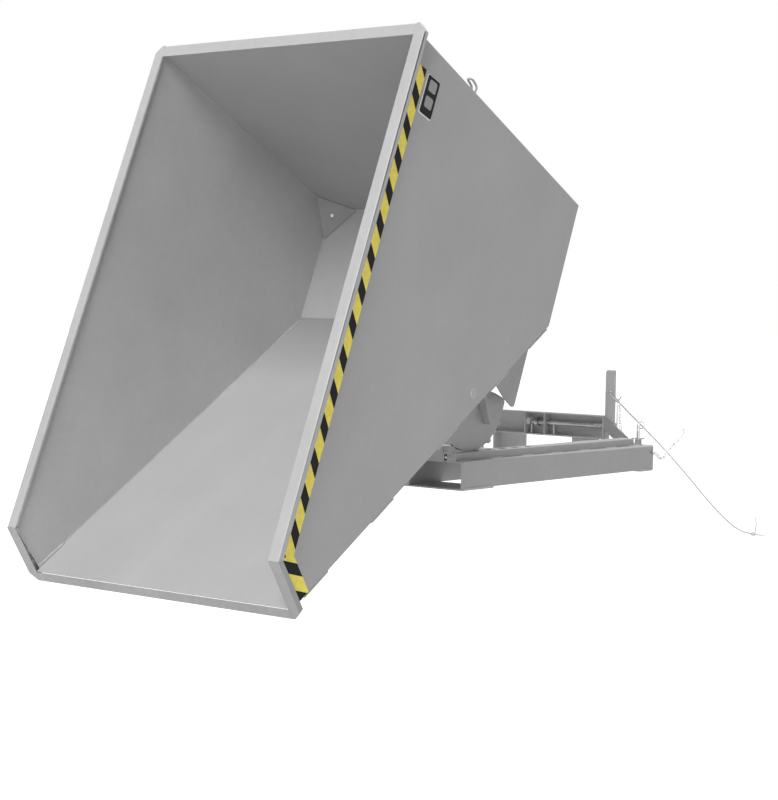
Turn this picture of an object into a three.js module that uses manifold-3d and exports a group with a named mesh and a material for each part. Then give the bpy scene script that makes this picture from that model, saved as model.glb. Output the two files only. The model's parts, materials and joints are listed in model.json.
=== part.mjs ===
import * as THREE from "three";
import { mergeVertices } from "three/addons/utils/BufferGeometryUtils.js";
import Module from "manifold-3d";

// Self dumping hopper: a steel tub that rolls forward on two toothed rockers over a base frame with two fork pockets.
// Millimetres, +Z up. X is the width, -Y the side it dumps to, +Y the side it is carried from.
// The origin lies midway between the fork pockets, at their rear mouths, on the plane of their ceilings.
// The tub stands tipped forward, as it does when it has just been emptied.

// Tub, measured level: "along" runs forward from the rear rim, "down" from the rim plane to the floor
const tubHalfWidth = 620;
const sheet = 4;
const openingLength = 1932;
const openingDepth = 1164;
const rearRimOverhang = 31;
const rearPanelLean = 119;
const floorLength = 500;
const frontRimLength = 237;
const frontRimPitch = THREE.MathUtils.degToRad(53.4);

// Rolled rim round the opening
const rimWidth = 46;
const lipWidth = 38;
const rimDepth = 22;
const rimSheet = 3;
const rimCornerCut = 32;
const rimInset = 16;

// Rolling gear: the rockers' arc, its teeth, and how far they carry the tub
const rollRadius = 220;
const tipAngle = THREE.MathUtils.degToRad(68);
const teethInRoll = 3;
const toothHeight = 12;
const toothRootWidth = 26;
const toothTipWidth = 14;
const rockerInset = 120;
const rockerThickness = 12;
const rockerFrontAngle = THREE.MathUtils.degToRad(100);
const rockerHeel = 52;
const rockerHeelRadius = 16;
const rockerHeelTop = 114;
const rockerHeelLean = 8;
const rockerToe = 170;
const tieTubeDiameter = 40;
const tieTubeWall = 5;
const tieTubeGap = 8.8;
const skidInset = 66;
const skidThickness = 8;
const skidTipRadius = 12;
const skidFront = 22;
const skidFrontKnee = 34;
const skidFrontTop = 82;
const skidTipHeight = 27;
const skidKneeHeight = 77;
const skidHeelInset = 8;

// Base frame
const pocketAhead = 118;
const pocketWidth = 250;
const pocketHeight = 101;
const pocketWall = 6;
const pocketMargin = 30;
const railWidth = 60;
const railHeight = 30;
const railWall = 6;
const railFromMouth = 110;
const slotLength = 44;
const slotWidth = 22;
const slotsBehindRoll = 2;
const railStopWidth = 30;
const railStopThickness = 12;
const railStopHeight = 24;
const strapThickness = 6;
const frontStrapLength = 200;
const rearStrapLength = 100;
const frontBarLength = 50;
const frontBarHeight = 44;
const frontBarWall = 6;
const midMemberFront = 700;
const midMemberLength = 70;
const midMemberHeight = 60;
const midMemberWall = 6;

// Rear beam that carries the release gear
const gussetWidth = 120;
const beamFront = 62;
const beamDepth = 50;
const beamBottom = 20;
const beamTop = 120;
const beamWall = 6;
const gussetThickness = 8;
const gussetToe = 40;
const gussetRise = 60;
const ribSpacing = 94;
const ribThickness = 6;
const apronThickness = 8;
const apronDepth = 84;
const apronOverlap = 14;
const apronLeftShares = [-0.655, -0.2];
const apronReturn = 48;
const apronRightWidth = 134;
const boltDiameter = 8;
const boltHeadDiameter = 15;
const boltHeadHeight = 6;
const boltLength = 38;
const boltPlaceShares = [-0.086, 0.243];

// Release gear: shaft, lever, hook, spring and the rope
const shaftDiameter = 20;
const shaftBehindBeamFront = 25;
const shaftHeight = 75;
const shaftLeftEnd = 62;
const shaftPastLever = 20;
const leverWidth = 46;
const leverThickness = 8;
const leverFromBeam = 24.5;
const leverForward = 12;
const leverLength = 238;
const leverHubDiameter = 34;
const leverHubWidth = 34;
const leverTipRadius = 12;
const ropeHoleHeight = 143;
const ropeHoleDiameter = 14;
const hookThickness = 16;
const hookBossDiameter = 36;
const hookArmDepth = 14;
const hookNoseLength = 12;
const hookNoseDrop = 12;
const hookTipGap = 2.9;
const strikerPinDiameter = 16;
const strikerForward = 51;
const strikerBelowShaft = 5;
const strikerPinGap = 2;
const strikerLugSpacing = 28;
const strikerLugThickness = 10;
const strikerLugHeight = 60;
const strikerPinOverhang = 2;
const springWire = 3;
const springTurns = 8;
const springPitch = 5;
const springBeforeEnd = 56;
const springSideShare = 5;
const springStepsPerTurn = 8;

// Fork pins that drop through the pockets near their mouths
const forkPinDiameter = 16;
const forkPinFromMouth = 24;
const forkPinFromSide = 60;
const forkPinBelow = 60;
const forkPinAbove = 92;
const forkPinRing = 14;
const forkPinRingWire = 3;
const forkPinRingDrop = 4;
const crossPinDiameter = 6;
const crossPinLength = 64;
const pinSleeveDiameter = 28;
const pinSleeveHeight = 22;

// Corner plates, bolts, eyes, tape and plate on the tub
const cornerPlateSide = 134;
const cornerPlateUp = 116;
const cornerPlateAcross = 134;
const cornerPlateSheet = 4;
const cornerBoltDiameter = 9;
const cornerBoltHead = 9;
const cornerBoltHeadHeight = 6;
const eyeRod = 12;
const eyeSpan = 56;
const eyeStandOff = 36;
const eyeFromEdge = 28;
const eyeDown = 356;
const tapeWidth = 50;
const tapeThickness = 0.6;
const tapeDown = 47;
const tapeStart = 132;
const tapeSlopeMargin = 3;
const labelAlong = 141;
const labelLength = 141;
const labelDown = 113;
const labelWidth = 71;
const labelThickness = 2;

// Rope from the lever and safety chain from the beam, their routes chosen by hand
const ropeDiameter = 8;
const ropeSides = 8;
const ropeSteps = 40;
const ropeFromLever = 9;
const ropeFall = [
  [-40.5, 182.7], [0, 160], [60, 126], [140, 82], [230, 32], [320, -19], [410, -73], [500, -128], [590, -185],
  [680, -243], [770, -300], [860, -354], [940, -397], [1010, -430], [1070, -452], [1120, -466], [1189, -478],
];
const ropeKnotRadius = 8;
const ropeKnotLength = 14;
const ropeTieRadius = 8.7;
const ropeTieSteps = 36;
const ropeTieShares = [0.17, 0.58, 0.86];
const ropeTieTurn = 1.03;
const ropeEndDiameter = 20;
const ropeEndLength = 26;
const ropeLoopRadius = 19;
const chainWidth = 14;
const chainSides = 8;
const chainSteps = 20;
const chainRoute = [
  [560.9, -14, -24], [569, -14, -24.3], [575, -8, -29], [577, 4, -36], [575, 20, -44], [571, 38, -51],
  [567, 56, -54], [564, 76, -49], [562, 98, -37], [561, 122, -24], [560, 148, -10], [560, 175, 4],
  [560, 200, 17], [560, 218, 26],
];
const chainHoleDiameter = 12;
const chainHookLength = 52;
const chainHookWire = 8;
const chainHookRadius = 13;
const keeperWidth = 10;
const keeperSteps = 22;
const keeperRoute = [
  [411, -30, 152], [411, -30, 134], [411, -30, 116], [411, -29.5, 98], [413, -28.5, 81], [417.5, -27.5, 65],
  [424, -26.5, 51], [432, -25.5, 39], [441, -24.8, 28.5], [450.5, -24.3, 20], [460, -24, 14.5],
  [471, -24, 11.8], [485.6, -24, 11.6],
];
const chainEyeWire = 6;
const chainEyeFromBeam = 61;
const chainEyeReach = 20;
const chainEyeTop = 166;
const chainEyeFoot = 50;

// Clearances: between welded pieces, and under anything that runs
const fitGap = 0.3;
const runningGap = 0.5;
const overrun = 5;

// Sides of the round pieces
const rodSides = 24;
const barSides = 10;
const arcSteps = 36;
const ringSteps = 20;

// Worked out from the sizes above: the tub
const floorRear = rearRimOverhang + rearPanelLean;
const floorFront = floorRear + floorLength;
const rimInner = tubHalfWidth - rimInset;
const rimOuter = rimInner + rimWidth;
const innerHalfWidth = tubHalfWidth - sheet;
const lipAlong = openingLength + frontRimLength * Math.cos(frontRimPitch);
const lipDown = frontRimLength * Math.sin(frontRimPitch);
const slopeEndShare = (frontRimLength - lipWidth) / frontRimLength;
const slopeEndAlong = THREE.MathUtils.lerp(openingLength, lipAlong, slopeEndShare);
const slopeEndDown = lipDown * slopeEndShare;
const slopeAngle = Math.atan2(openingDepth - slopeEndDown, slopeEndAlong - floorFront);
const rearAngle = Math.atan2(rearPanelLean, openingDepth);

// The roll: where the arc's centre lies in the tub, and where it touches the rails, level and tipped
const tieTubeReach = (tieTubeDiameter / 2 + tieTubeGap) / Math.cos(slopeAngle);
const rollCentreAlong = floorFront + (tieTubeReach + rollRadius) / Math.tan(slopeAngle);
const rollCentreDown = openingDepth + fitGap - rollRadius;
const toothPitchAngle = tipAngle / teethInRoll;
const railTop = pocketWall + railHeight;
const shaftY = shaftBehindBeamFront - beamFront;
const shaftPoint = [shaftY, shaftHeight];
const hookTip = strikerForward + strikerPinDiameter / 2 + strikerPinGap + hookNoseLength;
const rearFace = (down) => rearRimOverhang + (down / openingDepth) * rearPanelLean;
const rearAt = (z) => rollCentreAlong - rearFace(rollCentreDown - z);
const levelContactY = shaftY - hookTip - hookTipGap - rearAt(shaftHeight - railTop - rollRadius);
const tippedContactY = levelContactY - rollRadius * tipAngle;

// Places across the base
const pocketLength = pocketAhead - tippedContactY;
const railLength = pocketLength - railFromMouth;
const rockerCentre = tubHalfWidth - rockerInset;
const railInner = rockerCentre - railWidth / 2;
const pocketOuter = railInner + railWidth + pocketMargin;
const seatInner = pocketOuter - pocketWidth;
const pocketBottom = pocketWall - pocketHeight;
const forkPinPlace = pocketOuter - forkPinFromSide;
const beamHalfWidth = railInner - gussetWidth;
const leverPlace = beamHalfWidth + leverFromBeam;
const shaftRightEnd = leverPlace + shaftPastLever;
const leverFront = shaftY - leverForward - leverThickness / 2;
const leverBack = leverFront + leverThickness;
const ropePlace = leverPlace + leverWidth / 2 + ropeFromLever;
const ropeRoute = ropeFall.map(([y, z]) => [ropePlace, y, z]);

const wasm = await Module();
wasm.setup();

// Finishes
const paint = new THREE.MeshStandardMaterial({ color: 0xb4b6b8, roughness: 0.5, metalness: 0.3 });
const framePaint = new THREE.MeshStandardMaterial({ color: 0xacaeb0, roughness: 0.55, metalness: 0.3 });
const rimPaint = new THREE.MeshStandardMaterial({ color: 0xc4c6c8, roughness: 0.45, metalness: 0.3 });
const zinc = new THREE.MeshStandardMaterial({ color: 0xc9ccd0, roughness: 0.35, metalness: 0.9 });
const darkSteel = new THREE.MeshStandardMaterial({ color: 0x6d7074, roughness: 0.4, metalness: 0.9 });
const tapeYellow = new THREE.MeshStandardMaterial({ color: 0xe0d050, roughness: 0.4, metalness: 0 });
const plateDark = new THREE.MeshStandardMaterial({ color: 0x2e3030, roughness: 0.5, metalness: 0 });
const ropeWhite = new THREE.MeshStandardMaterial({ color: 0xdcdcd8, roughness: 0.9, metalness: 0 });

// Adds a named piece to the group that carries it
function piece(group, name, geometry, material) {
  const mesh = new THREE.Mesh(geometry, material);
  mesh.name = name;
  group.add(mesh);
  return mesh;
}

// A closed mesh as a solid that can be joined and cut
function toSolid(geometry) {
  const bare = new THREE.BufferGeometry();
  bare.setAttribute("position", geometry.getAttribute("position"));
  if (geometry.index) bare.setIndex(geometry.index);
  const merged = mergeVertices(bare);
  return new wasm.Manifold(new wasm.Mesh({
    numProp: 3,
    vertProperties: new Float32Array(merged.getAttribute("position").array),
    triVerts: new Uint32Array(merged.index.array),
  }));
}

function toGeometry(solid) {
  const mesh = solid.getMesh();
  const geometry = new THREE.BufferGeometry();
  geometry.setAttribute("position", new THREE.BufferAttribute(mesh.vertProperties, mesh.numProp));
  geometry.setIndex(new THREE.BufferAttribute(mesh.triVerts, 1));
  geometry.computeVertexNormals();
  return geometry;
}

function cut(body, ...tools) {
  return toGeometry(tools.reduce((solid, tool) => solid.subtract(toSolid(tool)), toSolid(body)));
}

function join(body, ...others) {
  return toGeometry(others.reduce((solid, other) => solid.add(toSolid(other)), toSolid(body)));
}

// A block between two corners
function block(x0, x1, y0, y1, z0, z1) {
  const geometry = new THREE.BoxGeometry(Math.abs(x1 - x0), Math.abs(y1 - y0), Math.abs(z1 - z0));
  return geometry.translate((x0 + x1) / 2, (y0 + y1) / 2, (z0 + z1) / 2);
}

// An outline in (y, z) drawn out along x
function plateAcross(outline, x0, x1) {
  const shape = Array.isArray(outline) ? new THREE.Shape(outline.map((p) => new THREE.Vector2(...p))) : outline;
  const low = Math.min(x0, x1);
  const geometry = new THREE.ExtrudeGeometry(shape, {
    depth: Math.abs(x1 - x0), bevelEnabled: false, curveSegments: arcSteps,
  });
  const turn = new THREE.Matrix4().makeBasis(
    new THREE.Vector3(0, 1, 0), new THREE.Vector3(0, 0, 1), new THREE.Vector3(1, 0, 0));
  return geometry.applyMatrix4(turn).translate(low, 0, 0);
}

// An outline in (x, z) drawn out along y
function plateAlong(outline, y0, y1) {
  const shape = new THREE.Shape(outline.map((p) => new THREE.Vector2(...p)));
  const geometry = new THREE.ExtrudeGeometry(shape, { depth: Math.abs(y1 - y0), bevelEnabled: false });
  return geometry.rotateX(Math.PI / 2).translate(0, Math.max(y0, y1), 0);
}

// An outline in (x, y) drawn out along z
function plateUp(outline, z0, z1) {
  const shape = new THREE.Shape(outline.map((p) => new THREE.Vector2(...p)));
  const geometry = new THREE.ExtrudeGeometry(shape, { depth: Math.abs(z1 - z0), bevelEnabled: false });
  return geometry.translate(0, 0, Math.min(z0, z1));
}

// A round bar along x, y or z from a centre point
function rod(axis, diameter, from, to, a, b, sides = rodSides) {
  const geometry = new THREE.CylinderGeometry(diameter / 2, diameter / 2, Math.abs(to - from), sides);
  const middle = (from + to) / 2;
  if (axis === "x") return geometry.rotateZ(Math.PI / 2).translate(middle, a, b);
  if (axis === "y") return geometry.translate(a, middle, b);
  return geometry.rotateX(Math.PI / 2).translate(a, b, middle);
}

// A bar of round section along a path of points
function bentBar(points, diameter, steps, sides = barSides) {
  const path = new THREE.CatmullRomCurve3(points.map((p) => new THREE.Vector3(...p)), false, "centripetal");
  const section = new THREE.Shape();
  for (let i = 0; i < sides; i += 1) {
    const angle = (2 * Math.PI * i) / sides;
    const x = (diameter / 2) * Math.cos(angle);
    const y = (diameter / 2) * Math.sin(angle);
    if (i === 0) section.moveTo(x, y);
    else section.lineTo(x, y);
  }
  return new THREE.ExtrudeGeometry(section, { steps, extrudePath: path, bevelEnabled: false });
}

// Level tub places as (y, z) round the centre of the rockers' arc
const tubPoint = (along, down) => [rollCentreAlong - along, rollCentreDown - down];

const hopper = new THREE.Group();
const base = new THREE.Group();
const tub = new THREE.Group();
tub.position.set(0, tippedContactY, railTop + rollRadius);
tub.rotation.x = tipAngle;
hopper.add(base, tub);
const sides = [["left", -1], ["right", 1]];

// Fork pockets: channels open below, lifted by their top webs
for (const [name, side] of sides) {
  const inner = side * seatInner;
  const outer = side * pocketOuter;
  const body = block(inner, outer, -pocketLength, 0, pocketBottom, pocketWall);
  const hollow = block(inner + side * pocketWall, outer - side * pocketWall,
    -pocketLength - overrun, overrun, pocketBottom - overrun, 0);
  const tools = [hollow, rod("z", forkPinDiameter + 2 * runningGap, -overrun, pocketWall + overrun,
    side * forkPinPlace, -forkPinFromMouth)];
  if (side > 0) tools.push(rod("x", chainHoleDiameter, outer - pocketWall - overrun, outer + overrun,
    chainRoute[0][1], chainRoute[0][2]));
  piece(base, `fork_pocket_${name}`, cut(body, ...tools), framePaint);
}

// Rails: inverted channels with a row of slots for the rockers' teeth
function slotPlace(index) {
  return levelContactY - (index + 1 / 2) * rollRadius * toothPitchAngle;
}

for (const [name, side] of sides) {
  const x0 = side * railInner;
  const x1 = side * (railInner + railWidth);
  const body = block(x0, x1, -pocketLength, railLength - pocketLength, pocketWall, railTop);
  const tools = [block(x0 + side * railWall, x1 - side * railWall, -pocketLength - overrun,
    railLength - pocketLength + overrun, pocketWall - overrun, railTop - railWall)];
  for (let i = -slotsBehindRoll; i < teethInRoll; i += 1) {
    tools.push(block(side * rockerCentre - slotWidth / 2, side * rockerCentre + slotWidth / 2,
      slotPlace(i) - slotLength / 2, slotPlace(i) + slotLength / 2, railTop - railWall - overrun, railTop + overrun));
  }
  piece(base, `rail_${name}`, cut(body, ...tools), framePaint);
  piece(base, `rail_stop_${name}`, block(side * rockerCentre - railStopWidth / 2,
    side * rockerCentre + railStopWidth / 2, -pocketLength, railStopThickness - pocketLength,
    railTop, railTop + railStopHeight), framePaint);
}

// Straps under the pockets, front and rear
piece(base, "front_strap", block(-pocketOuter, pocketOuter, -pocketLength, frontStrapLength - pocketLength,
  pocketBottom - strapThickness, pocketBottom), framePaint);
piece(base, "rear_strap", block(-pocketOuter, pocketOuter, -rearStrapLength, 0,
  pocketBottom - strapThickness, pocketBottom), framePaint);

// Angle across the front, on top of the pockets and between the rails
const barHalf = railInner - fitGap;
piece(base, "front_cross_bar", cut(
  block(-barHalf, barHalf, -pocketLength, frontBarLength - pocketLength, pocketWall, pocketWall + frontBarHeight),
  block(-barHalf - overrun, barHalf + overrun, frontBarWall - pocketLength, frontBarLength - pocketLength + overrun,
    pocketWall + frontBarWall, pocketWall + frontBarHeight + overrun)), framePaint);

// Channel between the pockets halfway along
const midHalf = seatInner - fitGap;
piece(base, "mid_cross_member", cut(
  block(-midHalf, midHalf, -midMemberFront, midMemberLength - midMemberFront, -midMemberHeight, 0),
  block(-midHalf - overrun, midHalf + overrun, midMemberWall - midMemberFront,
    midMemberLength - midMemberWall - midMemberFront, -midMemberHeight - overrun, -midMemberWall)), framePaint);

// Rear beam: a channel open to the front, its end plates bored for the release shaft
const beamBack = beamDepth - beamFront;
const shaftBore = shaftDiameter + 2 * runningGap;
piece(base, "rear_beam", cut(
  block(-beamHalfWidth, beamHalfWidth, -beamFront, beamBack, beamBottom, beamTop),
  block(-beamHalfWidth + beamWall, beamHalfWidth - beamWall, -beamFront - overrun, beamBack - beamWall,
    beamBottom + beamWall, beamTop - beamWall),
  rod("x", shaftBore, 0, beamHalfWidth + overrun, ...shaftPoint)), framePaint);

// Gusset plates that stand the beam on the rails
for (const [name, side] of sides) {
  const outline = [
    [side * (beamHalfWidth + fitGap), beamTop], [side * (beamHalfWidth + fitGap), beamTop - gussetRise],
    [side * (railInner - fitGap - gussetToe), pocketWall], [side * (railInner - fitGap), pocketWall],
    [side * (railInner - fitGap), railTop],
  ];
  if (side > 0) outline.reverse();
  piece(base, `beam_gusset_${name}`, plateAlong(outline, -beamFront, gussetThickness - beamFront), framePaint);
}

// Ribs in the beam either side of the hook, bored for the shaft
for (const [name, side] of sides) {
  const x0 = side * (ribSpacing / 2);
  piece(base, `latch_rib_${name}`, cut(
    block(x0, x0 + side * ribThickness, fitGap - beamFront, beamBack - beamWall - fitGap,
      beamBottom + beamWall + fitGap, beamTop - beamWall - fitGap),
    rod("x", shaftBore, x0 - overrun * 2, x0 + overrun * 2, ...shaftPoint)), framePaint);
}

// Apron plates below the beam, the left one with a side bent forward, and the hook's space between them
const apronTop = beamBottom - fitGap;
const apronBack = beamBack - apronOverlap;
const apronFront = apronBack - apronThickness;
const apronBottom = apronTop - apronDepth;
const [apronLeftFrom, apronLeftTo] = apronLeftShares.map((share) => share * seatInner);
piece(base, "beam_apron_left", join(
  block(apronLeftFrom, apronLeftTo, apronFront, apronBack, apronBottom, apronTop),
  block(apronLeftFrom, apronLeftFrom + apronThickness, apronFront - apronReturn, apronBack, apronBottom, apronTop)),
framePaint);
piece(base, "beam_apron_right", block(seatInner - apronRightWidth, seatInner - fitGap, apronFront, apronBack,
  apronBottom, apronTop), framePaint);

// Bolts that stand in the beam beside the ribs
boltPlaceShares.forEach((share, index) => {
  const place = share * beamHalfWidth;
  const z0 = beamBottom + beamWall;
  piece(base, `beam_bolt_${index + 1}`, join(
    rod("z", boltHeadDiameter, z0, z0 + boltHeadHeight, place, shaftY, 6),
    rod("z", boltDiameter, z0 + boltHeadHeight / 2, z0 + boltLength, place, shaftY)), zinc);
});

// Release shaft with its hook and lever
const release = new THREE.Group();
hopper.add(release);
piece(release, "release_shaft", rod("x", shaftDiameter, -shaftLeftEnd, shaftRightEnd, ...shaftPoint), darkSteel);

const leverHub = cut(
  join(
    rod("x", leverHubDiameter, leverPlace - leverHubWidth / 2, leverPlace + leverHubWidth / 2, ...shaftPoint),
    block(leverPlace - leverWidth / 2, leverPlace + leverWidth / 2, leverFront, leverBack,
      shaftHeight, shaftHeight + leverLength)),
  rod("x", shaftDiameter + 2 * fitGap, leverPlace - leverWidth, leverPlace + leverWidth, ...shaftPoint),
  rod("y", ropeHoleDiameter, leverFront - overrun, leverBack + overrun,
    leverPlace, shaftHeight + ropeHoleHeight),
  plateAlong([[leverPlace - leverWidth / 2 - overrun, shaftHeight + leverLength + overrun],
    [leverPlace - leverWidth / 2 - overrun, shaftHeight + leverLength - leverTipRadius],
    [leverPlace - leverWidth / 2 + leverTipRadius, shaftHeight + leverLength + overrun]],
  leverFront - overrun, leverBack + overrun));
piece(release, "release_lever", leverHub, framePaint);

const armBottom = strikerPinDiameter / 2 - strikerBelowShaft + strikerPinGap;
const hookOutline = [
  [0, armBottom + hookArmDepth], [-hookTip, armBottom + hookArmDepth], [-hookTip, -hookNoseDrop / 2],
  [hookNoseLength - hookTip, -hookNoseDrop / 2], [hookNoseLength - hookTip, armBottom], [0, armBottom],
].map(([y, z]) => [shaftY + y, shaftHeight + z]);
piece(release, "latch_hook", cut(
  join(rod("x", hookBossDiameter, -hookThickness / 2, hookThickness / 2, ...shaftPoint),
    plateAcross(hookOutline, -hookThickness / 2, hookThickness / 2)),
  rod("x", shaftDiameter + 2 * fitGap, -hookThickness, hookThickness, ...shaftPoint)), darkSteel);

// Return spring round the shaft, one unbroken coil beside the right rib
function coil(radius, wire, turns, pitch, start) {
  const points = [];
  for (let i = 0; i <= turns * springStepsPerTurn; i += 1) {
    const angle = (2 * Math.PI * i) / springStepsPerTurn;
    points.push([start + (pitch * i) / springStepsPerTurn,
      shaftY + radius * Math.cos(angle), shaftHeight + radius * Math.sin(angle)]);
  }
  return bentBar(points, wire, turns * springStepsPerTurn, springSideShare);
}
const springRadius = (shaftDiameter / 2 + springWire / 2 + runningGap) / Math.cos(Math.PI / springStepsPerTurn);
piece(base, "return_spring", coil(springRadius, springWire, springTurns, springPitch,
  beamHalfWidth - springBeforeEnd), zinc);
console.log("least gap between the spring's turns, mm:", (springPitch - springWire).toFixed(2));

// Turns a bar that lies along z so that it runs from a point in a direction
function aim(geometry, point, direction) {
  const turn = new THREE.Quaternion().setFromUnitVectors(new THREE.Vector3(0, 0, 1), direction);
  return geometry.applyQuaternion(turn).translate(point.x, point.y, point.z);
}

// Pull rope: tied through the lever's hole, the rope, and the knot and loop at its far end
const ropeHole = shaftHeight + ropeHoleHeight;
const ropeStart = new THREE.Vector3(...ropeRoute[0]);
const ropeSets = new THREE.Vector3(...ropeRoute[1]).sub(ropeStart).normalize();
const tieKnot = ropeStart.clone().addScaledVector(ropeSets, -ropeKnotLength / 2 - fitGap);
const tiePoint = (share, y) =>
  [tieKnot.x + share * (leverPlace - tieKnot.x), y, tieKnot.z + share * (ropeHole - tieKnot.z)];
const leverMiddle = (leverFront + leverBack) / 2;
const tiePath = [tieKnot.toArray(),
  ...ropeTieShares.map((share) => tiePoint(share, leverMiddle + ropeTieRadius)),
  tiePoint(ropeTieTurn, leverMiddle),
  ...ropeTieShares.map((share) => tiePoint(share, leverMiddle - ropeTieRadius)).reverse(),
  tieKnot.toArray()];
piece(release, "rope_knot", join(bentBar(tiePath, ropeDiameter, ropeTieSteps, ropeSides),
  aim(rod("z", 2 * ropeKnotRadius, -ropeKnotLength / 2, ropeKnotLength / 2, 0, 0), tieKnot, ropeSets)),
  ropeWhite);
piece(release, "pull_rope", bentBar(ropeRoute, ropeDiameter, ropeSteps, ropeSides), ropeWhite);
const ropeEnd = new THREE.Vector3(...ropeRoute[ropeRoute.length - 1]);
const ropeLands = ropeEnd.clone().sub(new THREE.Vector3(...ropeRoute[ropeRoute.length - 2])).normalize();
const endLoop = new THREE.TorusGeometry(ropeLoopRadius, ropeDiameter / 2, barSides, ringSteps);
endLoop.rotateX(Math.PI / 2).translate(0, 0, ropeEndLength + ropeLoopRadius - ropeDiameter / 2);
piece(release, "rope_end_knot", aim(join(rod("z", ropeEndDiameter, 0, ropeEndLength, 0, 0), endLoop),
  ropeEnd.addScaledVector(ropeLands, fitGap), ropeLands), ropeWhite);

// Safety chain: hung in a hole of the right pocket's side, with a hook at its end
const asVector = (point) => new THREE.Vector3(...point);
const chainEnd = asVector(chainRoute[chainRoute.length - 1]);
const chainDirection = chainEnd.clone().sub(asVector(chainRoute[chainRoute.length - 2])).normalize();
piece(base, "safety_chain", bentBar(chainRoute, chainWidth, chainSteps, chainSides), zinc);
const hookStart = chainEnd.clone().addScaledVector(chainDirection, fitGap);
const hookAcross = new THREE.Vector3(0, -chainDirection.z, chainDirection.y);
const hookPath = [[0, 0], [0, chainHookLength / 2], [chainHookRadius / 2, chainHookLength - chainHookRadius / 2],
  [chainHookRadius, chainHookLength], [chainHookRadius * 3 / 2, chainHookLength - chainHookRadius / 2],
  [chainHookRadius * 2, chainHookLength - chainHookRadius * 3 / 2]];
piece(base, "chain_hook", bentBar(hookPath.map(([across, ahead]) => {
  const point = hookStart.clone().addScaledVector(hookAcross, across).addScaledVector(chainDirection, ahead);
  return point.toArray();
}), chainHookWire, ringSteps), zinc);

// Keeper chain of the right fork pin: from an eye of bent bar on the gusset down to the pin's sleeve
const eyeX = beamHalfWidth + chainEyeFromBeam;
const eyeY = gussetThickness - beamFront + fitGap + chainEyeWire / 2;
piece(base, "chain_eye", bentBar([
  [eyeX, eyeY, chainEyeFoot], [eyeX, eyeY, (chainEyeFoot + chainEyeTop) / 2],
  [eyeX, eyeY, chainEyeTop - chainEyeReach / 2], [eyeX, eyeY + chainEyeReach / 2, chainEyeTop],
  [eyeX, keeperRoute[0][1], keeperRoute[0][2] + chainEyeWire / 2]], chainEyeWire, ringSteps), zinc);
piece(base, "keeper_chain", bentBar(keeperRoute, keeperWidth, keeperSteps, chainSides), zinc);

// Fork pins: each drops through the top web near the pocket's mouth and hangs by its cross pin
for (const [name, side] of sides) {
  const x = side * forkPinPlace;
  const y = -forkPinFromMouth;
  const sleeveTop = pocketWall + pinSleeveHeight;
  piece(base, `pin_sleeve_${name}`, cut(
    rod("z", pinSleeveDiameter, pocketWall, sleeveTop, x, y),
    rod("z", forkPinDiameter + 2 * runningGap, pocketWall - overrun, sleeveTop + overrun, x, y)), framePaint);
  const ring = new THREE.TorusGeometry(forkPinRing, forkPinRingWire, barSides, ringSteps);
  ring.rotateX(Math.PI / 2).translate(x + side * forkPinRing, y, forkPinAbove - forkPinRingDrop);
  piece(base, `fork_pin_${name}`, join(
    rod("z", forkPinDiameter, -forkPinBelow, forkPinAbove, x, y),
    rod("x", crossPinDiameter, x - crossPinLength / 2, x + crossPinLength / 2, y,
      sleeveTop + fitGap + crossPinDiameter / 2),
    ring), zinc);
}

// Tie tube at the centre of the rockers' arc
const tieHalf = rockerCentre - rockerThickness / 2 - fitGap;
const axle = new THREE.Group();
axle.position.copy(tub.position);
hopper.add(axle);
piece(axle, "tie_tube", cut(
  rod("x", tieTubeDiameter, -tieHalf, tieHalf, 0, 0),
  rod("x", tieTubeDiameter - 2 * tieTubeWall, -tieHalf - overrun, tieHalf + overrun, 0, 0)), framePaint);

// Height of the front panel's outer face at a place y of the level tub
const slopeOuter = (y) => -rollRadius + (rollCentreAlong - floorFront - y) * Math.tan(slopeAngle);
const underSlope = (y) => slopeOuter(y) - fitGap * 2;

// Rockers: plates whose arc rolls along the rails, with teeth that drop into the rails' slots
for (const [name, side] of sides) {
  const radius = rollRadius - fitGap;
  const outline = new THREE.Shape();
  outline.moveTo(rockerHeel - rockerHeelRadius, -radius);
  outline.lineTo(0, -radius);
  outline.absarc(0, 0, radius, -Math.PI / 2, -Math.PI / 2 - rockerFrontAngle, true);
  outline.lineTo(-rockerToe, underSlope(-rockerToe));
  outline.lineTo(rockerHeel - rockerHeelLean, underSlope(rockerHeel - rockerHeelLean));
  outline.lineTo(rockerHeel - rockerHeelLean, -rockerHeelTop);
  outline.quadraticCurveTo(rockerHeel, -rockerHeelTop - rockerHeelRadius,
    rockerHeel, -radius + rockerHeelRadius * 2);
  outline.absarc(rockerHeel - rockerHeelRadius, -radius + rockerHeelRadius, rockerHeelRadius, 0, -Math.PI / 2, true);
  const x0 = side * rockerCentre - rockerThickness / 2;
  const x1 = side * rockerCentre + rockerThickness / 2;
  const teeth = [];
  for (let i = 0; i < teethInRoll; i += 1) {
    const tooth = plateAcross([
      [-toothRootWidth / 2, -radius + toothHeight], [-toothTipWidth / 2, -radius - toothHeight],
      [toothTipWidth / 2, -radius - toothHeight], [toothRootWidth / 2, -radius + toothHeight]], x0, x1);
    teeth.push(tooth.rotateX(-(i + 1 / 2) * toothPitchAngle));
  }
  piece(tub, `rocker_${name}`, join(plateAcross(outline, x0, x1), ...teeth), framePaint);
}

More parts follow.
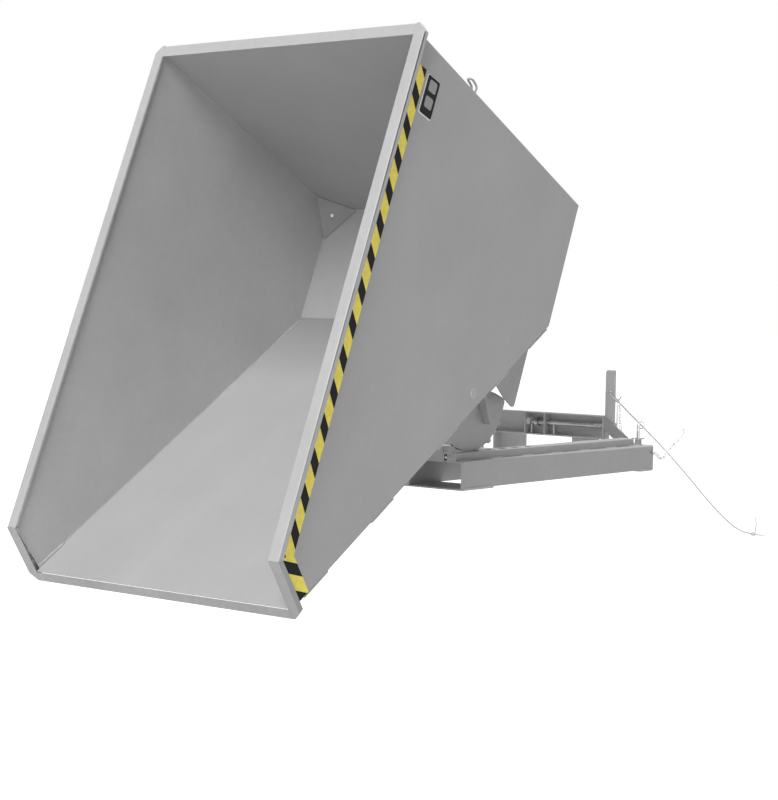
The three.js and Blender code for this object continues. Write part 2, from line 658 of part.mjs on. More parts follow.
// Skid plates: wedges under the front panel that carry on the line of the floor
for (const [name, side] of sides) {
  const x0 = side * (tubHalfWidth - skidInset);
  const outline = new THREE.Shape();
  const low = -rollRadius + fitGap;
  const heel = rollCentreAlong - floorFront - skidHeelInset;
  outline.moveTo(heel, low);
  outline.lineTo(heel, underSlope(heel));
  outline.lineTo(skidFrontTop, underSlope(skidFrontTop));
  outline.lineTo(skidFrontKnee, low + skidKneeHeight);
  outline.lineTo(skidFront, low + skidTipHeight);
  outline.quadraticCurveTo(skidFront - skidTipRadius / 2, low, skidFront + skidTipRadius, low);
  piece(tub, `skid_plate_${name}`, plateAcross(outline, x0 - side * skidThickness, x0), paint);
}

// Side panels
const topEdge = rimSheet + fitGap;
const alongFront = (distance, inward) => [
  openingLength + distance * Math.cos(frontRimPitch) - inward * Math.sin(frontRimPitch),
  distance * Math.sin(frontRimPitch) + inward * Math.cos(frontRimPitch)];
const bendAlong = openingLength - topEdge * Math.tan(frontRimPitch / 2);
for (const [name, side] of sides) {
  const outline = [
    tubPoint(rearFace(topEdge), topEdge), tubPoint(bendAlong, topEdge),
    tubPoint(...alongFront(frontRimLength - lipWidth, topEdge)),
    tubPoint(floorFront, openingDepth), tubPoint(floorRear, openingDepth),
  ];
  piece(tub, `side_panel_${name}`,
    plateAcross(outline.reverse(), side * innerHalfWidth, side * tubHalfWidth), paint);
}

// Rear, floor and front panels, each between the side panels
const panelHalf = innerHalfWidth - fitGap;
const rearSkin = sheet / Math.cos(rearAngle);
const slopeSkin = sheet / Math.cos(slopeAngle);
piece(tub, "rear_panel", plateAcross([
  tubPoint(rearFace(topEdge), topEdge), tubPoint(rearFace(topEdge) + rearSkin, topEdge),
  tubPoint(floorRear + rearSkin, openingDepth), tubPoint(floorRear, openingDepth),
], -panelHalf, panelHalf), paint);
const floorGap = fitGap * 2;
piece(tub, "floor_panel", plateAcross([
  tubPoint(floorRear + rearSkin + floorGap, openingDepth - sheet),
  tubPoint(floorFront - floorGap - sheet, openingDepth - sheet),
  tubPoint(floorFront - floorGap - sheet, openingDepth), tubPoint(floorRear + rearSkin + floorGap, openingDepth),
].reverse(), -panelHalf, panelHalf), paint);
const slopeTop = frontRimLength - lipWidth - fitGap;
const slopeTopBack = slopeSkin / (Math.sin(frontRimPitch) + Math.cos(frontRimPitch) * Math.tan(slopeAngle));
piece(tub, "front_panel", plateAcross([
  tubPoint(floorFront - sheet, openingDepth), tubPoint(floorFront, openingDepth),
  tubPoint(...alongFront(slopeTop, topEdge)), tubPoint(...alongFront(slopeTop - slopeTopBack, topEdge)),
  tubPoint(floorFront - sheet, openingDepth - slopeSkin + sheet * Math.tan(slopeAngle)),
].reverse(), -panelHalf, panelHalf), paint);

// Corner plates across the rear corners of the floor, each with a bolt through it
const cornerPlateLift = fitGap * 2;
for (const [name, side] of sides) {
  const corner = (x, along, down) => new THREE.Vector3(side * x, ...tubPoint(along, down));
  const floorTop = openingDepth - sheet;
  const plateUpper = floorTop - cornerPlateUp;
  const seats = [
    corner(innerHalfWidth, rearFace(plateUpper) + rearSkin, plateUpper),
    corner(innerHalfWidth - cornerPlateAcross, rearFace(floorTop) + rearSkin, floorTop),
    corner(innerHalfWidth, rearFace(floorTop) + rearSkin + cornerPlateSide, floorTop)];
  const normal = seats[1].clone().sub(seats[0]).cross(seats[2].clone().sub(seats[0])).normalize();
  if (normal.z < 0) normal.negate();
  const bottom = seats.map((seat) => seat.clone().addScaledVector(normal, cornerPlateLift));
  const top = bottom.map((point) => point.clone().addScaledVector(normal, cornerPlateSheet));
  const points = [...top, ...bottom];
  const turned = top[1].clone().sub(top[0]).cross(top[2].clone().sub(top[0])).dot(normal) > 0;
  const faces = [[0, 1, 2], [3, 5, 4], [0, 3, 4], [0, 4, 1], [1, 4, 5], [1, 5, 2], [2, 5, 3], [2, 3, 0]];
  const geometry = new THREE.BufferGeometry();
  geometry.setAttribute("position", new THREE.Float32BufferAttribute(points.flatMap((p) => [p.x, p.y, p.z]), 3));
  geometry.setIndex(faces.flatMap((f) => (turned ? f : [f[0], f[2], f[1]])));
  geometry.computeVertexNormals();
  piece(tub, `corner_plate_${name}`, geometry, paint);
  const middle = top[0].clone().add(top[1]).add(top[2]).divideScalar(3).addScaledVector(normal, fitGap);
  piece(tub, `corner_bolt_${name}`, aim(join(
    rod("z", cornerBoltHead * 2, 0, cornerBoltHeadHeight, 0, 0, 6),
    rod("z", cornerBoltDiameter, 0, cornerBoltHeadHeight * 2, 0, 0)), middle, normal), zinc);
}

// Rim bars along the sides: a top web and an outer flange, with the rear corner cut off and closed
const halfBend = frontRimPitch / 2;
const mitreGap = fitGap / 2;
const rimHalf = rimInner - fitGap;

// Cuts a rim bar's outer corner off at 45 degrees and closes the cut with a skin
function cutCorner(bar, side, cornerY, inward, low, high) {
  const outer = side * rimOuter;
  const skin = rimSheet * Math.SQRT2;
  const reach = (distance, past) => [
    [outer + side * past, cornerY - inward * past], [outer + side * past, cornerY + inward * (distance + past)],
    [outer - side * (distance + past), cornerY - inward * past]];
  const closed = join(bar, plateUp(reach(rimCornerCut + skin, 0), low, high));
  return cut(closed, plateUp(reach(rimCornerCut, overrun), low - overrun, high + overrun));
}

for (const [name, side] of sides) {
  const inner = side * rimInner;
  const outer = side * rimOuter;
  const mitre = (depth) => openingLength - depth * Math.tan(halfBend) - mitreGap;
  const strip = (depth) =>
    [tubPoint(0, depth), tubPoint(mitre(depth), depth), tubPoint(mitre(0), 0), tubPoint(0, 0)];
  const [rimRear, rimTop] = tubPoint(0, 0);
  const bar = join(plateAcross(strip(rimSheet), inner, outer),
    plateAcross(strip(rimDepth), outer - side * rimSheet, outer));
  piece(tub, `rim_${name}`, cutCorner(bar, side, rimRear, -1, rimTop - rimDepth, rimTop), rimPaint);
}

// Rim bar across the rear
piece(tub, "rim_rear", join(
  plateAcross(
    [tubPoint(rimWidth, rimSheet), tubPoint(rimWidth, 0), tubPoint(0, 0), tubPoint(0, rimSheet)].reverse(),
    -rimHalf, rimHalf),
  plateAcross(
    [tubPoint(rimSheet, rimDepth), tubPoint(rimSheet, 0), tubPoint(0, 0), tubPoint(0, rimDepth)].reverse(),
    -rimHalf, rimHalf)), rimPaint);

// Front rim bars and the lip bar, drawn flat: y runs back from the lip, z up from the flange's edge
const slopeOfLip = new THREE.Matrix4().makeRotationX(frontRimPitch)
  .setPosition(0, ...tubPoint(...alongFront(frontRimLength, rimDepth)));
for (const [name, side] of sides) {
  const inner = side * rimInner;
  const outer = side * rimOuter;
  const back = (depth) => frontRimLength - depth * Math.tan(halfBend) - mitreGap;
  const strip = (depth) =>
    [[0, rimDepth - depth], [back(depth), rimDepth - depth], [back(0), rimDepth], [0, rimDepth]];
  const bar = join(plateAcross(strip(rimSheet), inner, outer),
    plateAcross(strip(rimDepth), outer - side * rimSheet, outer),
    block(inner, outer, 0, rimSheet, 0, rimDepth));
  piece(tub, `front_rim_${name}`, cutCorner(bar, side, 0, 1, 0, rimDepth).applyMatrix4(slopeOfLip), rimPaint);
}
piece(tub, "lip_bar", join(
  block(-rimHalf, rimHalf, 0, lipWidth, rimDepth - rimSheet, rimDepth),
  block(-rimHalf, rimHalf, 0, rimSheet, 0, rimDepth)).applyMatrix4(slopeOfLip), rimPaint);

// Hazard tape on the side panels, along the rim and down to the slope
for (const [name, side] of sides) {
  const x0 = side * (tubHalfWidth + fitGap);
  const near = tapeDown;
  const far = tapeDown + tapeWidth;
  const bend = (inward) => tubPoint(openingLength - inward * Math.tan(halfBend), inward);
  const frontEnd = (inward) => {
    const [along, down] = alongFront(0, inward);
    const slopeDown = openingDepth - tapeSlopeMargin / Math.cos(slopeAngle);
    const rise = Math.tan(slopeAngle);
    const k = (slopeDown - (along - floorFront) * rise - down)
      / (Math.sin(frontRimPitch) + Math.cos(frontRimPitch) * rise);
    return tubPoint(along + k * Math.cos(frontRimPitch), down + k * Math.sin(frontRimPitch));
  };
  piece(tub, `hazard_tape_${name}`, plateAcross([
    tubPoint(tapeStart, near), bend(near), frontEnd(near), frontEnd(far), bend(far), tubPoint(tapeStart, far),
  ].reverse(), x0, x0 + side * tapeThickness), tapeYellow);
}

// Blank plate on the right side panel
const labelX = tubHalfWidth + fitGap;
piece(tub, "label_plate", plateAcross([
  tubPoint(labelAlong, labelDown), tubPoint(labelAlong + labelLength, labelDown),
  tubPoint(labelAlong + labelLength, labelDown + labelWidth), tubPoint(labelAlong, labelDown + labelWidth),
].reverse(), labelX, labelX + labelThickness), plateDark);

// Lashing eyes of bent round bar on the rear panel
for (const [name, side] of sides) {
  const x = side * (tubHalfWidth - eyeFromEdge);
  const off = (down, stand) => {
    const [y, z] = tubPoint(rearFace(down), down);
    return [x, y + stand * Math.cos(rearAngle), z - stand * Math.sin(rearAngle)];
  };
  const foot = fitGap * 2;
  const high = eyeDown - eyeSpan / 2;
  const low = eyeDown + eyeSpan / 2;
  piece(tub, `rear_eye_${name}`, bentBar([
    off(high, foot), off(high, eyeStandOff / 2), off(high + eyeRod / 2, eyeStandOff - eyeRod / 2),
    off(eyeDown, eyeStandOff), off(low - eyeRod / 2, eyeStandOff - eyeRod / 2),
    off(low, eyeStandOff / 2), off(low, foot)], eyeRod, ringSteps), zinc);
}

// Striker on the rear panel: two lugs and the pin that the hook holds when the tub is level
const levelShaft = [shaftY - levelContactY, shaftHeight - railTop - rollRadius];
const strikerPin = [levelShaft[0] - strikerForward, levelShaft[1] - strikerBelowShaft];
const lugRoot = (z) => [rearAt(z) + fitGap * 2, z];
const lugOutline = [
  lugRoot(strikerPin[1] - strikerLugHeight / 2),
  [strikerPin[0] + strikerPinDiameter / 2, strikerPin[1] - strikerPinDiameter / 2],
  [strikerPin[0] + strikerPinDiameter / 2, strikerPin[1] + strikerPinDiameter / 2],
  lugRoot(strikerPin[1] + strikerLugHeight / 2),
];
const lugs = sides.map(([, side]) => plateAcross(lugOutline, side * (strikerLugSpacing / 2),
  side * (strikerLugSpacing / 2 + strikerLugThickness)));
const pinHalf = strikerLugSpacing / 2 + strikerLugThickness + strikerPinOverhang;
piece(tub, "striker", join(rod("x", strikerPinDiameter, -pinHalf, pinHalf, ...strikerPin), ...lugs), darkSteel);

export default hopper;
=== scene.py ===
import json
import math

import bmesh
import bpy
from mathutils import Matrix, Vector


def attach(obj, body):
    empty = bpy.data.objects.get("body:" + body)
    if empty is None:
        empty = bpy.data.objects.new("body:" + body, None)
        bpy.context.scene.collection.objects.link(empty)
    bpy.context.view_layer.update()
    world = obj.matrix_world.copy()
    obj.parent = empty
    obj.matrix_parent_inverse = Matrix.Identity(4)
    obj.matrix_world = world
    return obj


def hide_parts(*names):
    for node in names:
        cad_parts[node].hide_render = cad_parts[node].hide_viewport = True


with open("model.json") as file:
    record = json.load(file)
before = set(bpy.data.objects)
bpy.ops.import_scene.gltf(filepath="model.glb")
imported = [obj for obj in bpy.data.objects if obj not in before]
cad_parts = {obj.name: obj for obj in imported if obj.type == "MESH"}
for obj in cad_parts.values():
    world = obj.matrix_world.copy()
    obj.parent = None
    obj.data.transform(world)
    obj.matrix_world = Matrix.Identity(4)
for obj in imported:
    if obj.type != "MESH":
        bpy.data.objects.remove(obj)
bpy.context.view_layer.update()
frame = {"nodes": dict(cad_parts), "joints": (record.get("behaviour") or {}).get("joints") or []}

nodes = frame["nodes"]

# The camera stands in front of the hopper's right side, just above the base frame, and looks slightly down.
# It keeps the place, the turn and the angle of view that the photograph was taken with.
camera_place = Vector((4.730, -7.075, 0.583))
camera_forward = Vector((-0.61872, 0.78400, -0.05028))
camera_up = Vector((-0.0459, 0.0278, 0.9986))
lens_mm = 87.75
sensor_mm = 36
sight_end = 200
camera_data = bpy.data.cameras.new("photo_camera")
camera_data.lens = lens_mm
camera_data.sensor_width = sensor_mm
camera_data.clip_end = sight_end


def in_scene(name, data):
    thing = bpy.data.objects.new(name, data)
    bpy.context.scene.collection.objects.link(thing)
    return thing


camera = in_scene("photo_camera", camera_data)
camera_right = camera_forward.cross(camera_up).normalized()
camera_up = camera_right.cross(camera_forward)
camera.matrix_world = Matrix((
    (camera_right.x, camera_up.x, -camera_forward.x, camera_place.x),
    (camera_right.y, camera_up.y, -camera_forward.y, camera_place.y),
    (camera_right.z, camera_up.z, -camera_forward.z, camera_place.z),
    (0, 0, 0, 1)))
bpy.context.scene.camera = camera
bpy.context.scene.view_settings.view_transform = "Standard"


# The pull rope is a three-strand rope, tied through the lever's hole with a loop and a round knot.
# It sags from the lever to its far end, where a knot, a loop and two loose tails make it fast.
def smooth_line(points, spacing):
    stops = [Vector(point) for point in points]
    stops = [stops[0] * 2 - stops[1]] + stops + [stops[-1] * 2 - stops[-2]]
    fine = []
    steps = 24
    for before, here, there, after in zip(stops, stops[1:], stops[2:], stops[3:]):
        for step in range(steps):
            t = step / steps
            fine.append(0.5 * (2 * here + (there - before) * t
                               + (2 * before - 5 * here + 4 * there - after) * t ** 2
                               + (3 * here - before - 3 * there + after) * t ** 3))
    fine.append(stops[-2])
    run = [0.0]
    for here, there in zip(fine, fine[1:]):
        run.append(run[-1] + (there - here).length)
    count = max(2, round(run[-1] / spacing))
    line = []
    at = 0
    for number in range(count + 1):
        wanted = run[-1] * number / count
        while at < len(run) - 2 and run[at + 1] < wanted:
            at += 1
        line.append(fine[at].lerp(fine[at + 1], (wanted - run[at]) / max(run[at + 1] - run[at], 1e-9)))
    return line


def carried_frames(line, closed=False):
    frames = []
    side = None
    last = len(line) - 1
    for number, point in enumerate(line):
        behind = line[number - 1] if closed or number else point
        ahead = line[(number + 1) % len(line)] if closed else line[min(number + 1, last)]
        heading = (ahead - behind).normalized()
        side = heading.orthogonal() if side is None else side
        side = (side - heading * side.dot(heading)).normalized()
        frames.append((point, heading, side, heading.cross(side)))
    return frames


def skin(rings, sides):
    faces = []
    for here, following in rings:
        for corner in range(sides):
            beside = (corner + 1) % sides
            faces.append((here * sides + corner, here * sides + beside,
                          following * sides + beside, following * sides + corner))
    return faces


def end_caps(rings, sides):
    return [tuple(reversed(range(sides))), tuple(range((rings - 1) * sides, rings * sides))]


def around(side, over, turn, reach):
    return (side * math.cos(turn) + over * math.sin(turn)) * reach


def round_bar(line, radius, sides=10, closed=False, swell=None):
    frames = carried_frames(line, closed)
    rings = len(frames)
    verts = []
    for number, (point, heading, side, over) in enumerate(frames):
        reach = radius * (swell(number / (rings - 1)) if swell else 1)
        for corner in range(sides):
            turn = 2 * math.pi * corner / sides
            verts.append(point + around(side, over, turn, reach))
    faces = skin([(ring, (ring + 1) % rings) for ring in range(rings if closed else rings - 1)], sides)
    if not closed:
        faces += end_caps(rings, sides)
    return verts, faces


def made_piece(name, parts, material, body, smooth=True):
    verts = []
    faces = []
    for part_verts, part_faces in parts:
        start = len(verts)
        verts.extend(part_verts)
        faces.extend(tuple(start + corner for corner in face) for face in part_faces)
    mesh = bpy.data.meshes.new(name)
    mesh.from_pydata(verts, [], faces)
    work = bmesh.new()
    work.from_mesh(mesh)
    bmesh.ops.recalc_face_normals(work, faces=work.faces)
    for face in work.faces:
        face.smooth = smooth
    work.to_mesh(mesh)
    work.free()
    mesh.materials.append(material)
    piece = in_scene(name, mesh)
    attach(piece, body)
    return piece


def made_node(tree, kind, inputs, **settings):
    node = tree.nodes.new(kind)
    for setting, value in settings.items():
        setattr(node, setting, value)
    for socket, value in inputs.items():
        if isinstance(value, bpy.types.NodeSocket):
            tree.links.new(value, node.inputs[socket])
        else:
            node.inputs[socket].default_value = value
    return node


def spread_over(tree, source, start, end, at_start, at_end):
    return made_node(tree, "ShaderNodeMapRange", {
        "Value": source, "From Min": start, "From Max": end, "To Min": at_start, "To Max": at_end
    }).outputs["Result"]


def varied(tree, source, low, high):
    usual_low = 0.3
    usual_high = 0.7
    return spread_over(tree, source, usual_low, usual_high, low, high)


def noise(tree, place, scale, detail=3.0, stretch=None, lean=0.0):
    if stretch:
        mapping = {"Vector": place, "Rotation": (lean, 0, 0), "Scale": stretch}
        place = made_node(tree, "ShaderNodeMapping", mapping, vector_type="TEXTURE").outputs["Vector"]
    grain = {"Vector": place, "Scale": scale, "Detail": detail}
    return made_node(tree, "ShaderNodeTexNoise", grain).outputs["Fac"]


def worked(tree, operation, *values):
    return made_node(tree, "ShaderNodeMath", dict(enumerate(values)), operation=operation).outputs[0]


def multiplied(tree, product, *factors):
    for factor in factors:
        product = worked(tree, "MULTIPLY", product, factor)
    return product


def toned(tree, colour, factor):
    scaled = {0: colour, "Scale": factor}
    return made_node(tree, "ShaderNodeVectorMath", scaled, operation="SCALE").outputs["Vector"]


def started_material(name):
    material = bpy.data.materials.new(name)
    material.use_nodes = True
    tree = material.node_tree
    place = tree.nodes.new("ShaderNodeTexCoord")
    return material, tree, tree.nodes["Principled BSDF"], place.outputs["Object"]


fine_relief = 0.0004


def covered(tree, shader, colour, roughness, height, ripple, relief=fine_relief):
    bump = made_node(tree, "ShaderNodeBump", {"Height": height, "Strength": ripple, "Distance": relief})
    normal = bump.outputs["Normal"]
    for socket, value in (("Base Color", colour), ("Roughness", roughness), ("Normal", normal)):
        tree.links.new(value, shader.inputs[socket])


fibre_white = (0.93, 0.925, 0.91)
rope_white, tree, shader, place = started_material("rope_fibre")
fibres = noise(tree, place, 420, 4)
soiling = noise(tree, place, 14, 4)
rope_tone = multiplied(tree, varied(tree, fibres, 0.86, 1.06), varied(tree, soiling, 0.90, 1.03))
rope_roughness = varied(tree, fibres, 0.80, 0.98)
covered(tree, shader, toned(tree, fibre_white, rope_tone), rope_roughness, fibres, ripple=0.4)
shader.inputs["Sheen Weight"].default_value = 0.5

rope_x = 0.4065
rope_fall = [
    (-0.0405, 0.1827), (0, 0.160), (0.060, 0.126), (0.140, 0.082), (0.230, 0.032), (0.320, -0.019),
    (0.410, -0.073), (0.500, -0.128), (0.590, -0.185), (0.680, -0.243), (0.770, -0.300), (0.860, -0.354),
    (0.940, -0.397), (1.010, -0.430), (1.070, -0.452), (1.120, -0.466), (1.189, -0.478)]
rope_width = 0.008
rope_lay = 0.026
rope_step = 0.003
strand_share = 0.262
strand_turn_share = 0.238
rope_points = [(rope_x, y, z) for y, z in rope_fall]


def laid_rope(line, width, lay=rope_lay):
    strand_radius = width * strand_share
    turn_radius = width * strand_turn_share
    run = 0.0
    reached = line[0]
    strands = ([], [], [])
    for point, heading, side, over in carried_frames(line):
        run += (point - reached).length
        reached = point
        for number, strand in enumerate(strands):
            turn = 2 * math.pi * (run / lay + number / 3)
            strand.append(point + around(side, over, turn, turn_radius))
    return [round_bar(strand, strand_radius, 8) for strand in strands]


def knot_turns(centre, heading, turns, pitch, turn_radius, width):
    side = heading.orthogonal().normalized()
    over = heading.cross(side)
    steps_a_turn = 14
    knot_lay = 0.02
    line = []
    for number in range(round(turns * steps_a_turn) + 1):
        turn = 2 * math.pi * number / steps_a_turn
        ahead = pitch * (number / steps_a_turn - turns / 2)
        line.append(centre + heading * ahead + around(side, over, turn, turn_radius))
    return laid_rope(line, width, knot_lay)


def loose_tail(knot, stops, spacing):
    return smooth_line([knot] + [knot + Vector(stop) for stop in stops], spacing)


rope_line = smooth_line(rope_points, rope_step)
pull_rope = made_piece("rope_laid", laid_rope(rope_line, rope_width), rope_white, "release")
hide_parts("pull_rope")

lever_hole = Vector((0.3745, -0.049, 0.218))
tie_set_back = 0.0073
tie_radius = 0.0087
tie_shares = (0.17, 0.58, 0.86)
tie_far_share = 1.03
tie_width = 0.0075
tie_lay = 0.024
tie_step = 0.0025
tie_tail_width = 0.0068
tie_tail_stops = ((0.006, 0.007, 0.005), (0.010, 0.010, 0.011), (0.012, 0.011, 0.018))
rope_sets = (Vector(rope_points[1]) - Vector(rope_points[0])).normalized()
tie_knot = Vector(rope_points[0]) - rope_sets * tie_set_back


def tie_point(share, forward):
    return (tie_knot.x + share * (lever_hole.x - tie_knot.x), lever_hole.y + forward,
            tie_knot.z + share * (lever_hole.z - tie_knot.z))


tie_points = [tie_knot] + [tie_point(share, tie_radius) for share in tie_shares]
tie_points += [tie_point(tie_far_share, 0)]
tie_points += [tie_point(share, -tie_radius) for share in reversed(tie_shares)] + [tie_knot]
tie_tail = loose_tail(tie_knot, tie_tail_stops, tie_step)
tie_turns = knot_turns(tie_knot, rope_sets, turns=2.4, pitch=0.0058, turn_radius=0.0052, width=tie_tail_width)
tie_loop = laid_rope(smooth_line(tie_points, tie_step), tie_width, tie_lay)
rope_tie = made_piece("rope_tie", tie_loop + tie_turns + laid_rope(tie_tail, tie_tail_width, tie_lay),
                      rope_white, "release")
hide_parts("rope_knot")

rightward = Vector((1, 0, 0))
knot_reach = 0.013
loop_radius = 0.019
loop_overlap = 0.004
loop_half_turn = 165
loop_steps = 18
loop_width = 0.0078
end_knot_width = 0.0075
end_tail_width = 0.0072
upper_tail_stops = ((0.004, 0.009, 0.012), (0.006, 0.013, 0.034), (0.003, 0.019, 0.056),
                    (-0.002, 0.021, 0.078))
lower_tail_stops = ((0.010, 0.010, -0.003), (0.026, 0.018, -0.006), (0.044, 0.024, -0.007))
rope_end = Vector(rope_points[-1])
rope_lands = (rope_end - Vector(rope_points[-2])).normalized()
end_knot = rope_end + rope_lands * knot_reach
loop_centre = rope_end + rope_lands * (2 * knot_reach + loop_radius - loop_overlap)
loop_points = [end_knot]
for step in range(loop_steps + 1):
    turn = math.radians(loop_half_turn * (2 * step / loop_steps - 1))
    loop_points.append(loop_centre + around(rope_lands, rightward, turn, loop_radius))
loop_points.append(end_knot)
end_turns = knot_turns(end_knot, rope_lands, turns=3.2, pitch=0.0075, turn_radius=0.0065,
                       width=end_knot_width)
end_tails = [strand for stops in (upper_tail_stops, lower_tail_stops)
             for strand in laid_rope(loose_tail(end_knot, stops, rope_step), end_tail_width)]
rope_end_tie = made_piece("rope_end_tie", laid_rope(smooth_line(loop_points, rope_step), loop_width)
                          + end_turns + end_tails, rope_white, "release")
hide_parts("rope_end_knot")

# The safety chain is a short-link zinc-plated chain, shackled through the rear of the right pocket's side.
# It dips and rises again to the open hook at its far end.
zinc_pale = (0.80, 0.81, 0.82)
zinc_coat, tree, shader, place = started_material("zinc_plating")
shader.inputs["Metallic"].default_value = 0.75
spangle = noise(tree, place, 190, 4)
handled = noise(tree, place, 26, 4)
zinc_tone = multiplied(tree, varied(tree, spangle, 0.86, 1.08), varied(tree, handled, 0.86, 1.06))
zinc_roughness = varied(tree, handled, 0.26, 0.46)
covered(tree, shader, toned(tree, zinc_pale, zinc_tone), zinc_roughness, spangle, ripple=0.25)

chain_points = [
    (0.575, 0.020, -0.044), (0.571, 0.038, -0.051), (0.567, 0.056, -0.054), (0.564, 0.076, -0.049),
    (0.562, 0.098, -0.037), (0.561, 0.122, -0.024), (0.560, 0.148, -0.010), (0.560, 0.175, 0.004),
    (0.560, 0.200, 0.017), (0.560, 0.218, 0.026)]
chain_half_pitch = 0.0085
link_width = 0.0160
link_wire = 0.0050


def chain_link(centre, heading, side, length, width, wire):
    bend = (width - wire) / 2
    straight = (length - width) / 2
    line = []
    for end in (1, -1):
        for step in range(7):
            turn = math.radians(-90 + 30 * step)
            line.append(centre + heading * end * (straight + bend * math.cos(turn))
                        + side * end * bend * math.sin(turn))
    return round_bar(line, wire / 2, 8, closed=True)


def chain_links(line, width, wire):
    overlap = 1.9 * wire
    slant = 0.35
    links = []
    pitch = 2 * (line[1] - line[0]).length
    for number, (point, heading, side, over) in enumerate(carried_frames(line)):
        if number % 2:
            flat = side if number % 4 == 1 else over
            slanted = (flat + heading.cross(flat) * slant).normalized()
            links.append(chain_link(point, heading, slanted, pitch + overlap, width, wire))
    return links


def chain_route(points, half_pitch):
    line = smooth_line(points, half_pitch)
    left_over = (len(line) - 1) % 2
    return line[:len(line) - left_over]


def circle(centre, first, second, radius, steps):
    return [centre + around(first, second, 2 * math.pi * step / steps, radius) for step in range(steps)]


def turned_bar(base, heading, profile, sides=28):
    side = heading.orthogonal().normalized()
    over = heading.cross(side)
    verts = []
    for ahead, radius in profile:
        for corner in range(sides):
            turn = 2 * math.pi * (corner + 0.5) / sides
            verts.append(base + heading * ahead + around(side, over, turn, radius))
    rings = len(profile)
    return verts, end_caps(rings, sides) + skin([(ring, ring + 1) for ring in range(rings - 1)], sides)


chain_line = chain_route(chain_points, chain_half_pitch)
linked_chain = made_piece("safety_chain_links", chain_links(chain_line, link_width, link_wire),
                          zinc_coat, "base")
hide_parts("safety_chain")

shackle_bar = 0.0048
shackle_step = 0.003
shackle_bow = smooth_line([
    (0.5715, -0.014, -0.024), (0.5735, 0.002, -0.029), (0.5735, 0.018, -0.036), (0.5675, 0.030, -0.042),
    (0.5585, 0.026, -0.038), (0.5495, 0.012, -0.032), (0.5475, -0.014, -0.024)], shackle_step)
shackle_pin_start = Vector((0.541, -0.014, -0.024))
shackle_lug_starts = (0.0265, 0.0025)
shackle_parts = [
    round_bar(shackle_bow, shackle_bar, 12),
    turned_bar(shackle_pin_start, rightward, [
        (0, 0.0026), (0.001, 0.0035), (0.034, 0.0035), (0.034, 0.0058), (0.0395, 0.0058), (0.040, 0.005)])]
for start in shackle_lug_starts:
    shackle_parts.append(turned_bar(shackle_pin_start + rightward * start, rightward, [
        (0, 0.006), (0.001, 0.0072), (0.0065, 0.0072), (0.0075, 0.006)]))
made_piece("chain_shackle", shackle_parts, zinc_coat, "base")

hook_course = [(0, 0.004), (0, 0.014), (0.0005, 0.026), (0.0055, 0.042), (0.013, 0.049), (0.0205, 0.043),
               (0.0245, 0.033), (0.027, 0.027)]
hook_bar = 0.0042
hook_eye_radius = 0.0055
hook_eye_wire = 0.0026
hook_eye_set = 0.0005
hook_step = 0.0025
chain_end = chain_line[-1]
chain_heading = Vector((0, 0.018, 0.009)).normalized()
chain_over = Vector((0, -chain_heading.z, chain_heading.y))
hook_line = smooth_line([chain_end + chain_over * over + chain_heading * ahead
                         for over, ahead in hook_course], hook_step)


def hook_taper(share):
    full = 1.05
    taper_start = 0.6
    return full if share < taper_start else full - 1.2 * (share - taper_start)


hook_eye = circle(chain_end + chain_heading * hook_eye_set, chain_heading, rightward, hook_eye_radius, 16)
chain_hook = made_piece("chain_end_hook", [round_bar(hook_line, hook_bar, 12, swell=hook_taper),
                                           round_bar(hook_eye, hook_eye_wire, 8, closed=True)],
                        zinc_coat, "base")
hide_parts("chain_hook")

# The keeper chain is a light twisted chain that keeps the right fork pin with the hopper.
# It hangs from an eye of bent rod, welded to the back of the right gusset, and lies down to the pin's sleeve.
keeper_points = [
    (0.411, -0.030, 0.152), (0.411, -0.030, 0.134), (0.411, -0.030, 0.116), (0.411, -0.0295, 0.098),
    (0.413, -0.0285, 0.081), (0.4175, -0.0275, 0.065), (0.424, -0.0265, 0.051), (0.432, -0.0255, 0.039),
    (0.441, -0.0248, 0.0285), (0.4505, -0.0243, 0.020), (0.460, -0.024, 0.0145), (0.471, -0.024, 0.0118),
    (0.4856, -0.024, 0.0116)]
keeper_half_pitch = 0.0062
keeper_width = 0.0102
keeper_wire = 0.0031
keeper_line = chain_route(keeper_points, keeper_half_pitch)
keeper_chain = made_piece("keeper_chain_links", chain_links(keeper_line, keeper_width, keeper_wire),
                          zinc_coat, "base")
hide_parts("keeper_chain")
rod_x = 0.411
rod_radius = 0.003
rod_step = 0.002
rod_course = [(-0.0507, 0.050), (-0.0507, 0.080), (-0.0507, 0.120), (-0.0507, 0.154), (-0.0465, 0.1645),
              (-0.0395, 0.1665), (-0.0325, 0.1625), (-0.030, 0.154)]
rod_line = smooth_line([(rod_x, y, z) for y, z in rod_course], rod_step)
chain_eye = made_piece("chain_eye_rod", [round_bar(rod_line, rod_radius, 14)], zinc_coat, "base")
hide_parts("chain_eye")


# The stage is a pale floor well below the lifted hopper, under a white room with soft light.
# The camera and mirror-like surfaces see the room as white, while the surfaces are lit by a softer sky.
def seen_directly(tree):
    ray = tree.nodes.new("ShaderNodeLightPath")
    seen = ray.outputs["Is Camera Ray"]
    for kind in ("Is Glossy Ray", "Is Transmission Ray"):
        seen = worked(tree, "MAXIMUM", seen, ray.outputs[kind])
    return seen


def one_axis(tree, place, axis):
    return made_node(tree, "ShaderNodeSeparateXYZ", {0: place}).outputs[axis]


